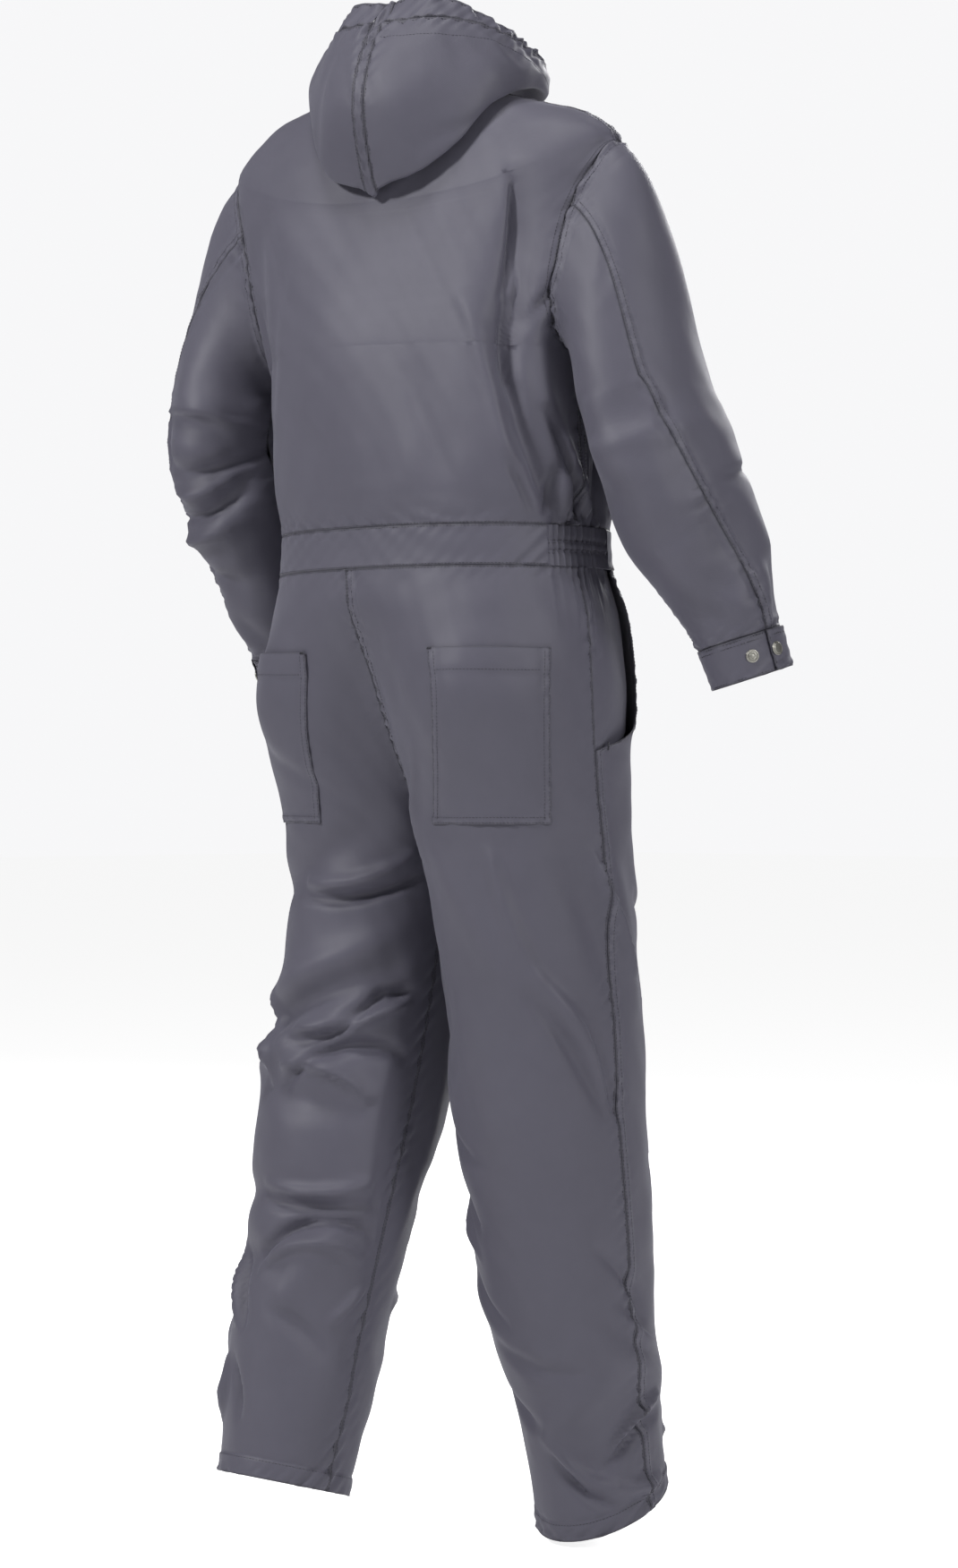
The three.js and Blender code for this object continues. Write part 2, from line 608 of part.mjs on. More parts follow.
function rimGrid(side) {
  const edge = hoodAngles.map((angle) => hoodPoint(side * angle, RIM_START));
  const rows = [[], [], []];
  for (let k = 0; k < (hoodAngles.length - 1) * RIM_STEPS + 1; k += 1) {
    const cell = Math.min(Math.floor(k / RIM_STEPS), hoodAngles.length - 2);
    const part = k / RIM_STEPS - cell;
    const wave = Math.sin(k / ((hoodAngles.length - 1) * RIM_STEPS) * RIM_GATHERS * 2 * Math.PI);
    const angle = lerp(hoodAngles[cell], hoodAngles[cell + 1], part);
    rows[0].push(edge[cell].clone().lerp(edge[cell + 1], part));
    rows[1].push(hoodPoint(side * angle, 5.7, 1.6 * wave));
    rows[2].push(hoodPoint(side * angle, 6, 2.6 * wave));
  }
  return rows;
}

// Zip tapes run from the neckline over the waistband to the fly's end
function zipTapeGrid(side) {
  const rows = [];
  for (const level of [...BODICE_LEVELS].reverse()) {
    const ring = readTable(BODICE_RINGS, 'level', level);
    const edge = bodicePoint(side * zipDegrees(ring.side, ring.square), level);
    rows.push([edge, edge.clone().lerp(bodicePoint(180, level), 0.96)]);
  }
  const heights = [...frontRowHeights(side).filter((h) => h > FLY_END - 1)];
  for (const height of heights) {
    const end = frontEndPlace(height);
    const edge = trouserPoint(side, end, height);
    rows.push([edge, edge.clone().lerp(trouserPoint(side, 1, height), 0.96)]);
  }
  return rows;
}

// Panels become walls. Outward normals are shared where pieces of one family meet, so that edges are mitred.
const panels = [];
const sharedNormals = new Map();
const keyOf = (point, family = 'body') => (
  `${family} ${[point.x, point.y, point.z].map((value) => Math.round(value * 20)).join()}`
);

function cellNormals(grid, flip) {
  const normals = grid.map((row) => row.map(() => new THREE.Vector3()));
  for (let i = 0; i < grid.length - 1; i += 1) {
    for (let j = 0; j < grid[0].length - 1; j += 1) {
      const across = grid[i][j + 1].clone().add(grid[i + 1][j + 1]).sub(grid[i][j]).sub(grid[i + 1][j]);
      const down = grid[i + 1][j].clone().add(grid[i + 1][j + 1]).sub(grid[i][j]).sub(grid[i][j + 1]);
      const normal = across.cross(down).multiplyScalar(flip);
      normals[i][j].add(normal);
      normals[i][j + 1].add(normal);
      normals[i + 1][j].add(normal);
      normals[i + 1][j + 1].add(normal);
    }
  }
  return normals;
}

function definePanel(name, grid, options = {}) {
  const centre = options.centre ?? new THREE.Vector3();
  let vote = 0;
  cellNormals(grid, 1).forEach((row, i) => row.forEach((normal, j) => {
    const from = grid[i][j].clone().sub(options.centres ? options.centres(grid[i][j]) : centre);
    from.z = 0;
    vote += normal.dot(from);
  }));
  const flip = vote < 0 ? -1 : 1;
  const normals = cellNormals(grid, flip);
  if (!options.alone) {
    normals.forEach((row, i) => row.forEach((normal, j) => {
      const key = keyOf(grid[i][j], options.family);
      const sum = sharedNormals.get(key) ?? new THREE.Vector3();
      sharedNormals.set(key, sum.add(normal.clone().normalize()));
    }));
  }
  panels.push({ name, grid, flip, normals, options });
}

function finalNormal(panel, i, j) {
  const { grid, normals, options } = panel;
  if (options.normals) return options.normals[i][j];
  const shared = options.alone ? normals[i][j] : sharedNormals.get(keyOf(grid[i][j], options.family));
  const normal = shared.clone();
  const lastRow = grid.length - 1;
  for (const [row, axis] of options.square ?? []) {
    const index = row < 0 ? lastRow : row;
    if (i === index) normal.addScaledVector(axis, -normal.dot(axis));
  }
  return normal.normalize();
}

function wallGeometry(outer, inner, flip) {
  const rows = outer.length;
  const columns = outer[0].length;
  const points = [...outer.flat(), ...inner.flat()];
  const index = (layer, i, j) => layer * rows * columns + i * columns + j;
  const faces = [];
  const quad = (a, b, c, d) => {
    if (flip > 0) faces.push(a, b, c, a, c, d);
    else faces.push(a, c, b, a, d, c);
  };
  for (let i = 0; i < rows - 1; i += 1) {
    for (let j = 0; j < columns - 1; j += 1) {
      quad(index(0, i, j), index(0, i, j + 1), index(0, i + 1, j + 1), index(0, i + 1, j));
      quad(index(1, i, j), index(1, i + 1, j), index(1, i + 1, j + 1), index(1, i, j + 1));
    }
  }
  for (let j = 0; j < columns - 1; j += 1) {
    quad(index(0, 0, j), index(1, 0, j), index(1, 0, j + 1), index(0, 0, j + 1));
    quad(index(0, rows - 1, j), index(0, rows - 1, j + 1), index(1, rows - 1, j + 1), index(1, rows - 1, j));
  }
  for (let i = 0; i < rows - 1; i += 1) {
    quad(index(0, i, 0), index(0, i + 1, 0), index(1, i + 1, 0), index(1, i, 0));
    quad(index(0, i, columns - 1), index(1, i, columns - 1), index(1, i + 1, columns - 1), index(0, i + 1, columns - 1));
  }
  const geometry = new THREE.BufferGeometry();
  geometry.setAttribute('position', new THREE.Float32BufferAttribute(points.flatMap((p) => [p.x, p.y, p.z]), 3));
  geometry.setIndex(faces);
  geometry.computeVertexNormals();
  return geometry;
}

function edgePull(grid, i, j) {
  const pull = new THREE.Vector3();
  const rows = grid.length - 1;
  const columns = grid[0].length - 1;
  // Square to the edge's own run, toward the inside of the panel
  const toward = (a, b, run) => {
    const way = grid[a][b].clone().sub(grid[i][j]);
    run.normalize();
    pull.add(way.addScaledVector(run, -way.dot(run)).normalize());
  };
  const acrossRun = () => grid[i][Math.min(j + 1, columns)].clone().sub(grid[i][Math.max(j - 1, 0)]);
  const downRun = () => grid[Math.min(i + 1, rows)][j].clone().sub(grid[Math.max(i - 1, 0)][j]);
  if (i === 0) toward(1, j, acrossRun());
  if (i === rows) toward(rows - 1, j, acrossRun());
  if (j === 0) toward(i, 1, downRun());
  if (j === columns) toward(i, columns - 1, downRun());
  return pull.multiplyScalar(SEAM_PULL);
}

// A wall between two distances from the panel's surface, plus outward
function panelWall(panel, from, to, rowSpan, columnSpan) {
  const [firstRow, lastRow] = rowSpan ?? [0, panel.grid.length - 1];
  const [firstColumn, lastColumn] = columnSpan ?? [0, panel.grid[0].length - 1];
  const cut = panel.grid.slice(firstRow, lastRow + 1).map((row) => row.slice(firstColumn, lastColumn + 1));
  const layer = (distance) => cut.map((row, i) => row.map((point, j) => {
    const normal = finalNormal(panel, i + firstRow, j + firstColumn);
    return point.clone().add(edgePull(cut, i, j)).addScaledVector(normal, distance);
  }));
  return wallGeometry(layer(from), layer(to), panel.flip);
}

const group = new THREE.Group();

function addMesh(name, geometry, material) {
  const mesh = new THREE.Mesh(geometry, material);
  mesh.name = name;
  group.add(mesh);
  return mesh;
}

// All sewn pieces
const UP = new THREE.Vector3(0, 0, 1);
const levelRow = (row) => [row, UP];
const sides = [[1, 'left'], [-1, 'right']];

function defineBand(name, start, end, columns, wave) {
  const normals = bandNormals(start, end, columns);
  definePanel(name, bandGrid(start, end, columns, wave), { alone: true, normals });
}

definePanel('back_body', backBodiceGrid(), { square: [levelRow(0)] });
for (const [side, word] of sides) {
  const leg = LEGS[word];
  const arm = ARMS[word];
  const legCentre = (point) => {
    const at = readTable(leg, 'height', point.z + HELD_HEIGHT);
    const part = legBlend(point.z + HELD_HEIGHT);
    return new THREE.Vector3(at.x * part, at.y * part, 0);
  };
  const armCentre = () => new THREE.Vector3((arm[0].x + arm[5].x) / 2, (arm[0].y + arm[5].y) / 2, 0);
  const end = armFrame(word, 1).along;
  const elasticColumns = ELASTIC_GATHERS * 4;
  const gather = (k) => GATHER_HEIGHT * Math.sin(k * Math.PI / 2);
  const bandEdge = zipDegrees(PELVIS_RINGS[0].side, PELVIS_RINGS[0].square);
  definePanel(`front_body_${word}`, frontBodiceGrid(side), { square: [levelRow(0)] });
  definePanel(`sleeve_top_${word}`, sleeveGrid(side, -7, 3), {
    centres: armCentre, square: [[-1, end]], family: 'sleeve',
  });
  definePanel(`sleeve_under_${word}`, sleeveGrid(side, 3, 9), {
    centres: armCentre, square: [[-1, end]], family: 'sleeve',
  });
  definePanel(`cuff_${word}`, cuffGrid(side), {
    centre: armFrame(word, 1).centre, alone: true, square: [0, 1, 2].map((row) => [row, end]),
  });
  definePanel(`hood_${word}`, hoodGrid(side), { square: [levelRow(-1)], family: 'hood' });
  definePanel(`hood_rim_${word}`, rimGrid(side), { alone: true, square: [0, 1, 2].map(levelRow) });
  defineBand(`waist_elastic_${word}`, side * ELASTIC_START, side * ELASTIC_END, elasticColumns, gather);
  defineBand(`waistband_front_${word}`, side * ELASTIC_END, side * bandEdge, 6);
  definePanel(`trouser_back_${word}`, trouserBackGrid(side), { centres: legCentre, square: [levelRow(0)] });
  definePanel(`trouser_front_${word}`, trouserFrontGrid(side), { centres: legCentre, square: [levelRow(0)] });
  definePanel(`side_pocket_facing_${word}`, facingGrid(side), { centres: legCentre, square: [levelRow(0)] });
  definePanel(`zip_tape_${word}`, zipTapeGrid(side), { material: ZIP_TAPE });
}
defineBand('waistband_back', -ELASTIC_START, ELASTIC_START, 18);
definePanel('hood_centre_strip', hoodStripGrid(), { family: 'hood' });

for (const panel of panels) {
  addMesh(panel.name, panelWall(panel, 0, -WALL), panel.options.material ?? CLOTH);
}

// Back patch pockets lie on the trouser backs, on the same points moved out
const POCKET_GAP = 0.35;
const POCKET_WALL = 1.8;
for (const [, word] of sides) {
  const panel = panels.find((item) => item.name === `trouser_back_${word}`);
  const geometry = panelWall(panel, POCKET_GAP + POCKET_WALL, POCKET_GAP, POCKET_ROWS, POCKET_COLUMNS);
  addMesh(`back_pocket_${word}`, geometry, CLOTH);
}

// Snaps stand on the cuffs: a domed cap on the lap and a stud ring on the layer beside it
const SNAP_GAP = 0.35;
const SNAP_SIDES = 12;
const CAP_OUTLINE = [[0, 0], [7.4, 0], [7.4, 1], [6.2, 2], [3.4, 2.6], [0, 2.8]];
const STUD_OUTLINE = [[0, 0], [7, 0], [7, 1], [5.4, 1.3], [5.2, 2.4], [3.4, 2.4], [3.2, 1.2], [0, 1.2]];
const CAP_CELL = CUFF_STEPS + CUFF_LAP_STEPS - 1;
const STUD_CELL = 3;

function lathe(outline) {
  const geometry = new THREE.LatheGeometry(outline.map(([r, h]) => new THREE.Vector2(r, h)), SNAP_SIDES);
  return geometry.rotateX(Math.PI / 2);
}

function addSnap(name, outline, word, cell) {
  const { grid } = panels.find((panel) => panel.name === `cuff_${word}`);
  const middle = grid[1][cell].clone().add(grid[1][cell + 1]).multiplyScalar(0.5);
  const across = grid[1][cell + 1].clone().sub(grid[1][cell]).normalize();
  const down = grid[2][cell].clone().sub(grid[0][cell]).normalize();
  const out = across.clone().cross(down).normalize();
  const centre = armFrame(word, 1).centre;
  if (out.dot(middle.clone().sub(centre)) < 0) out.negate();
  const mesh = addMesh(name, lathe(outline), SNAP_METAL);
  mesh.quaternion.setFromUnitVectors(UP, out);
  mesh.position.copy(middle.addScaledVector(out, SNAP_GAP));
}

for (const [, word] of sides) {
  addSnap(`cuff_snap_cap_${word}`, CAP_OUTLINE, word, CAP_CELL);
  addSnap(`cuff_snap_stud_${word}`, STUD_OUTLINE, word, STUD_CELL);
}

// Zip slider with a bar between two lugs, and a pull tab that turns on the bar.
// Their own frame has X across, Y out of the cloth and Z up the zip.
const SLIDER_LOW = 2.4;
const SLIDER_HIGH = 2.6;
const SLIDER_OFF = 0.45;
const SLIDER_HEIGHT = 13;
const SLIDER_TOP_HALF = 4.8;
const SLIDER_FOOT_HALF = 3.4;
const PLATE = 2.4;
const BAR_OUT = 5.1;
const BAR_RADIUS = 0.8;
const LUG_INNER = 2.9;
const LUG_WIDTH = 1.1;
const LUG_HALF_HEIGHT = 2.1;
const KNUCKLE_HALF = 2.5;
const KNUCKLE_BORE = 1.2;
const KNUCKLE_RADIUS = 2.1;
const PULL_LENGTH = 27;
const PULL_HALF = 3.6;
const PULL_THICKNESS = 1.5;

function solidOf(geometry) {
  const plain = geometry.clone();
  plain.deleteAttribute('normal');
  plain.deleteAttribute('uv');
  const merged = mergeVertices(plain, 1e-4);
  const vertProperties = new Float32Array(merged.attributes.position.array);
  return new wasm.Manifold(new wasm.Mesh({
    numProp: 3, vertProperties, triVerts: new Uint32Array(merged.index.array),
  }));
}

function joined(geometries) {
  const [first, ...rest] = geometries.map(solidOf);
  const { vertProperties, triVerts } = rest.reduce((all, next) => all.add(next), first).getMesh();
  const geometry = new THREE.BufferGeometry();
  geometry.setAttribute('position', new THREE.Float32BufferAttribute(vertProperties, 3));
  geometry.setIndex([...triVerts]);
  geometry.computeVertexNormals();
  return geometry;
}

function block(width, depth, height, x, y, z) {
  return new THREE.BoxGeometry(width, depth, height).translate(x, y, z);
}

// An outline across and up the zip, with a thickness out of the cloth
function plateOf(points, thickness, from) {
  const shape = new THREE.Shape(points.map(([x, z]) => new THREE.Vector2(x, z)));
  const geometry = new THREE.ExtrudeGeometry(shape, { depth: thickness, bevelEnabled: false });
  return geometry.rotateX(Math.PI / 2).translate(0, from + thickness, 0);
}

function sliderGeometry() {
  const half = SLIDER_HEIGHT / 2;
  const body = plateOf([
    [-SLIDER_FOOT_HALF, -half], [SLIDER_FOOT_HALF, -half], [SLIDER_TOP_HALF, half * 0.4],
    [SLIDER_TOP_HALF, half], [-SLIDER_TOP_HALF, half], [-SLIDER_TOP_HALF, half * 0.4],
  ], PLATE, 0);
  const lugDepth = BAR_OUT + BAR_RADIUS + 0.6 - PLATE + 0.2;
  const lugs = [-1, 1].map((way) => block(
    LUG_WIDTH, lugDepth, 2 * LUG_HALF_HEIGHT,
    way * (LUG_INNER + LUG_WIDTH / 2), PLATE - 0.2 + lugDepth / 2, 0,
  ));
  const bar = new THREE.CylinderGeometry(BAR_RADIUS, BAR_RADIUS, 2 * LUG_INNER + LUG_WIDTH, 12)
    .rotateZ(Math.PI / 2).translate(0, BAR_OUT, 0);
  return joined([body, ...lugs, bar]);
}

function pullGeometry() {
  const ring = [
    [KNUCKLE_BORE, -KNUCKLE_HALF], [KNUCKLE_RADIUS, -KNUCKLE_HALF],
    [KNUCKLE_RADIUS, KNUCKLE_HALF], [KNUCKLE_BORE, KNUCKLE_HALF], [KNUCKLE_BORE, -KNUCKLE_HALF],
  ].map(([r, h]) => new THREE.Vector2(r, h));
  const knuckle = new THREE.LatheGeometry(ring, 16).rotateZ(Math.PI / 2);
  const neck = -KNUCKLE_RADIUS - 1;
  const foot = -PULL_LENGTH;
  const tab = plateOf([
    [-KNUCKLE_HALF, -1.6], [-KNUCKLE_HALF, neck], [-PULL_HALF, neck - 3], [-PULL_HALF, foot + 3],
    [-PULL_HALF + 2, foot], [PULL_HALF - 2, foot], [PULL_HALF, foot + 3], [PULL_HALF, neck - 3],
    [KNUCKLE_HALF, neck], [KNUCKLE_HALF, -1.6],
  ], PULL_THICKNESS, -PULL_THICKNESS / 2);
  return joined([knuckle, tab]);
}

const zipLow = bodicePoint(180, SLIDER_LOW);
const zipHigh = bodicePoint(180, SLIDER_HIGH);
const zipUp = zipHigh.clone().sub(zipLow).normalize();
const zipAcross = bodicePoint(184, 2.5).sub(bodicePoint(176, 2.5)).normalize();
const zipOut = zipUp.clone().cross(zipAcross);
const zipHolder = new THREE.Group();
zipHolder.quaternion.setFromRotationMatrix(new THREE.Matrix4().makeBasis(zipAcross, zipOut, zipUp));
zipHolder.position.copy(zipLow).lerp(zipHigh, 0.5).addScaledVector(zipOut, SLIDER_OFF);
group.add(zipHolder);
zipHolder.add(addMesh('zip_slider', sliderGeometry(), ZIP_METAL));
const zipPull = addMesh('zip_pull', pullGeometry(), ZIP_METAL);
zipPull.position.set(0, BAR_OUT, 0);
zipHolder.add(zipPull);

export default group;
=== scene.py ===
import math

import bpy
import numpy as np
from mathutils import Matrix, Vector


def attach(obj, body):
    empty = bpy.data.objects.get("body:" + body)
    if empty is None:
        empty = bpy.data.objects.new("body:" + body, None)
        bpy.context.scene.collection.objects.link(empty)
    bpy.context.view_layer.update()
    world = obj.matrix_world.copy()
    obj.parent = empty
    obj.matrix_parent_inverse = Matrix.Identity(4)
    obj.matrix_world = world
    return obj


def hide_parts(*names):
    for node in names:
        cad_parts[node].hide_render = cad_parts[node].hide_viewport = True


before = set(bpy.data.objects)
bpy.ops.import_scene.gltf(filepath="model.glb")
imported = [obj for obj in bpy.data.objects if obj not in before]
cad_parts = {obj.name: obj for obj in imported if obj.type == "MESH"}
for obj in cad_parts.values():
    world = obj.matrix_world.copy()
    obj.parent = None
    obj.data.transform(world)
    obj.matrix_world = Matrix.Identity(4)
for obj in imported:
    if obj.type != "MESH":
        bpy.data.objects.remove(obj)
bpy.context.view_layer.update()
bpy.ops.object.select_all(action="DESELECT")

# Driving sizes, the same as the solids'
HELD_HEIGHT = 1560
WAIST_TOP = 1091
WAIST_BOTTOM = 1048
CROTCH_HEIGHT = 745
CROTCH_Y = -6
LEG_BLEND_TOP = 930
SEAT_VALLEY = 0.24
ZIP_HALF_WIDTH = 12
SHOULDER_TURN = math.radians(12)
SHOULDER_SHIFT = (10, 14)
LEFT_SHOULDER_LIFT = 19
ARMHOLE_HALF_ANGLE = 28
POCKET_TOP = 962
POCKET_BOTTOM = 779
POCKET_PLACES = (35.5 / 180, 75 / 180)
FLY_END = 883.6
OPENING_END = 857.4
ELASTIC = (77, 112)
CLOTH_THICK = 1.1
GRID = 5.0
HEM_DEPTH = 20
CREASE_DEPTH = 2.6
CREASE_WIDTH = 12
GATHER_DEPTH = 4.0
EDGES = ("first", "last", "top", "bottom")


# Tables with named columns, read as smooth curves
def table(names, rows):
    return names.split(), np.array(sorted(rows), float)


# Curve from one value to the next, leaving and arriving at the given slopes
def between(start, end, leave, arrive, p):
    return (
        start * (2 * p**3 - 3 * p**2 + 1) + end * (3 * p**2 - 2 * p**3)
        + leave * (p**3 - 2 * p**2 + p) + arrive * (p**3 - p**2)
    )


def read(source, at):
    names, data = source
    keys = data[:, 0]
    last = len(keys) - 1
    at = np.clip(np.asarray(at, float), keys[0], keys[-1])
    k = np.clip(np.searchsorted(keys, at) - 1, 0, last - 1)
    rows = np.arange(last + 1)
    before = np.maximum(rows - 1, 0)
    after = np.minimum(rows + 1, last)
    slope = (data[after] - data[before]) / (keys[after] - keys[before])[:, None]
    span = (keys[k + 1] - keys[k])[..., None]
    p = (at - keys[k])[..., None] / span
    curve = between(data[k], data[k + 1], span * slope[k], span * slope[k + 1], p)
    return {name: curve[..., n] for n, name in enumerate(names)}


def lerp(a, b, part):
    return a + (b - a) * part


def smooth(part):
    p = np.clip(part, 0, 1)
    return p * p * (3 - 2 * p)


def side_word(side):
    return "right" if side < 0 else "left"


# Distance travelled along a line at each of its points
def travelled(points):
    return np.concatenate([[0], np.cumsum(np.linalg.norm(np.diff(points, axis=0), axis=1))])


def hump(value, middle, width):
    return np.exp(-(((value - middle) / width) ** 2))


def powered(value, power):
    return np.sign(value) * np.abs(value) ** power


# Creases: from one place to another, width, height (a trough is below zero), and for some a bow to one
# side and a lean
def relief(creases, place, height, scale):
    total = np.zeros(np.broadcast(place, height).shape)
    for start, start_height, end, end_height, width, rise, *bent in creases:
        bow, lean = bent or (0, 0)
        run_x = (end - start) * scale
        run_z = end_height - start_height
        length = math.hypot(run_x, run_z)
        dx = (place - start) * scale
        dz = height - start_height
        raw = (dx * run_x + dz * run_z) / length**2
        along = np.clip(raw, 0, 1)
        aside = (dx * run_z - dz * run_x) / length - bow * 4 * along * (1 - along)
        past = (raw - along) * length
        away = np.hypot(aside, past) / (width * (1 + lean * np.sign(aside)))
        deep = CREASE_DEPTH if (width < CREASE_WIDTH and scale > 1) or width < 0.035 else 1
        total += deep * rise * np.exp(-(away**2)) * (0.35 + 0.65 * np.sin(np.pi * along))
    return total


BODICE_RINGS = table(
    "level side side_height back back_height front front_height square",
    [
        [0.0, 195, 1091, 144, 1091, 138, 1091, 2.3],
        [0.3, 200, 1140, 150, 1142, 144, 1142, 2.35],
        [0.65, 196, 1208, 147, 1212, 142, 1210, 2.35],
        [1.0, 197, 1275, 137, 1282, 134, 1280, 2.3],
        [1.5, 222, 1390, 112, 1366, 116, 1362, 2.25],
        [2.0, 240, 1495, 92, 1440, 90, 1434, 2.2],
        [2.25, 205, 1526, 85, 1474, 86, 1458, 2.2],
        [2.5, 160, 1541, 77, 1508, 80, 1482, 2.15],
        [3.0, 78, 1564, 58, 1572, 66, 1508, 2.0],
    ],
)

# The bodice's large folds, then its smaller creases. Place is in degrees from centre back.
BODICE_CREASES = [
    [-44, 1446, -50, 1310, 20, -10],
    [-50, 1310, -78, 1105, 18, -11],
    [-60, 1420, -64, 1300, 18, 8],
    [-64, 1300, -88, 1110, 18, 9],
    [-26, 1390, -52, 1200, 26, 6],
    [-52, 1200, -72, 1100, 20, 6],
    [-12, 1330, -34, 1130, 28, -5],
    [12, 1420, 6, 1180, 34, 4],
    [46, 1440, 54, 1280, 22, -8],
    [54, 1280, 80, 1108, 20, -9],
    [66, 1240, 84, 1112, 22, 4],
    [120, 1400, 104, 1130, 24, -8],
    [138, 1330, 118, 1110, 24, 6],
    [-122, 1410, -102, 1125, 24, -8],
    [-142, 1350, -116, 1108, 24, 6],
    [-47, 1400, -58, 1240, 7, -4, 6, 0.3],
    [-62, 1230, -82, 1100, 7, -4.5, -5, -0.3],
    [-70, 1170, -80, 1094, 5, 3, 2, 0],
    [-74, 1210, -92, 1096, 6, -4, 4, 0.2],
    [-84, 1180, -97, 1094, 6, 3.5, -3, 0],
    [-30, 1330, -60, 1150, 9, 2.5, 9, 0.3],
    [-20, 1250, -44, 1110, 12, -2.2, -8, 0],
    [-66, 1380, -60, 1300, 7, -3, 5, 0],
    [-38, 1470, -46, 1400, 9, -3, 0, 0.2],
    [30, 1380, 44, 1200, 12, -2.5, -9, 0],
    [58, 1330, 70, 1200, 8, -4, 6, 0.3],
    [66, 1190, 84, 1096, 7, -4, 3, 0],
    [76, 1160, 92, 1094, 6, 3.5, -3, 0],
    [4, 1260, -6, 1110, 16, 2, 6, 0],
    [100, 1220, 96, 1096, 7, -4, 4, 0.2],
    [112, 1290, 104, 1150, 8, 3.5, -5, 0],
    [-100, 1230, -98, 1096, 7, -4, 4, 0.2],
    [-114, 1300, -105, 1150, 8, 3.5, -5, 0],
    [150, 1420, 136, 1260, 14, -3.5, 8, 0.2],
    [-152, 1410, -138, 1250, 13, -3.5, -7, 0],
    [160, 1230, 140, 1110, 12, -2.5, 5, 0],
    [-162, 1240, -138, 1104, 11, -2.5, 6, 0],
    [-41, 1440, -47, 1330, 9, -5, 4, 0.3],
    [-50, 1320, -60, 1220, 8, -5, -4, 0.3],
    [-56, 1290, -70, 1150, 10, 4, 5, 0],
    [-80, 1150, -76, 1094, 4, -4],
    [-88, 1145, -90, 1094, 4, -4],
    [-84, 1140, -84, 1094, 4, 4],
    [-58, 1160, -70, 1100, 5, -3, 2, 0.2],
    [80, 1145, 82, 1094, 4, -4],
    [88, 1150, 90, 1094, 4, -4],
    [-8, 1420, -24, 1300, 14, -2, 8, 0],
    [40, 1450, 26, 1330, 12, -2.5, -8, 0],
]


def carried(x, y, height):
    part = smooth((height - 1110) / 290)
    turn = SHOULDER_TURN * part
    return np.stack(
        [
            x * np.cos(turn) - y * np.sin(turn) + SHOULDER_SHIFT[0] * part - 2 * (1 - part),
            x * np.sin(turn) + y * np.cos(turn) + SHOULDER_SHIFT[1] * part - 2 * (1 - part),
            height - HELD_HEIGHT,
        ],
        -1,
    )


# The elastic draws the cloth of the band, and of what is sewn to it, into uneven gathers
def gathers(degrees):
    side = np.abs(degrees)
    inside = smooth((side - ELASTIC[0]) / 3) * smooth((ELASTIC[1] - side) / 3)
    place = side * 2.56 + 0.9 * np.sin(side * 0.41) + np.where(degrees > 0, 1.3, 0.0)
    wave = np.sin(place) + 0.35 * np.sin(2 * place + 0.8)
    return inside * wave * (GATHER_DEPTH + np.sin(side * 0.83 + 1))


def bodice(degrees, level):
    degrees, level = np.broadcast_arrays(np.asarray(degrees, float), np.asarray(level, float))
    ring = read(BODICE_RINGS, level)
    sine = np.sin(np.radians(degrees))
    cosine = np.cos(np.radians(degrees))
    shoulder = np.clip(level - 2, 0, 1)
    lift = np.where(sine > 0, LEFT_SHOULDER_LIFT * (np.sin(shoulder * np.pi) * sine) ** 2, 0)
    middle = np.where(cosine > 0, ring["back_height"], ring["front_height"])
    height = lift + lerp(ring["side_height"], middle, cosine**2)
    x = ring["side"] * powered(sine, 2 / ring["square"])
    y = np.where(cosine > 0, ring["back"], ring["front"]) * powered(cosine, 2 / ring["square"])
    fade = smooth((2.25 - level) / 0.3) * smooth(level / 0.12)
    out = fade * relief(BODICE_CREASES, degrees, height, 3)
    out = out + gathers(degrees) * np.exp(-((height - WAIST_TOP) / 34)) * (level < 1)
    grow = 1 + out / np.hypot(x, y)
    return carried(x * grow, y * grow, height)


def zip_degrees(side, square):
    return 180 - np.degrees(np.arcsin((ZIP_HALF_WIDTH / side) ** (square / 2)))


# Place of the zip's edge in the rings of a table, in degrees from centre back
def zip_edge(source, at):
    ring = read(source, at)
    return zip_degrees(ring["side"], ring["square"])


def armhole_level(turn):
    return 1 + (1 + np.cos(np.radians(turn))) / 2


def armhole_gap(level):
    part = np.clip(level - 1, 0, 1)
    return ARMHOLE_HALF_ANGLE * np.sqrt(4 * part * (1 - part))


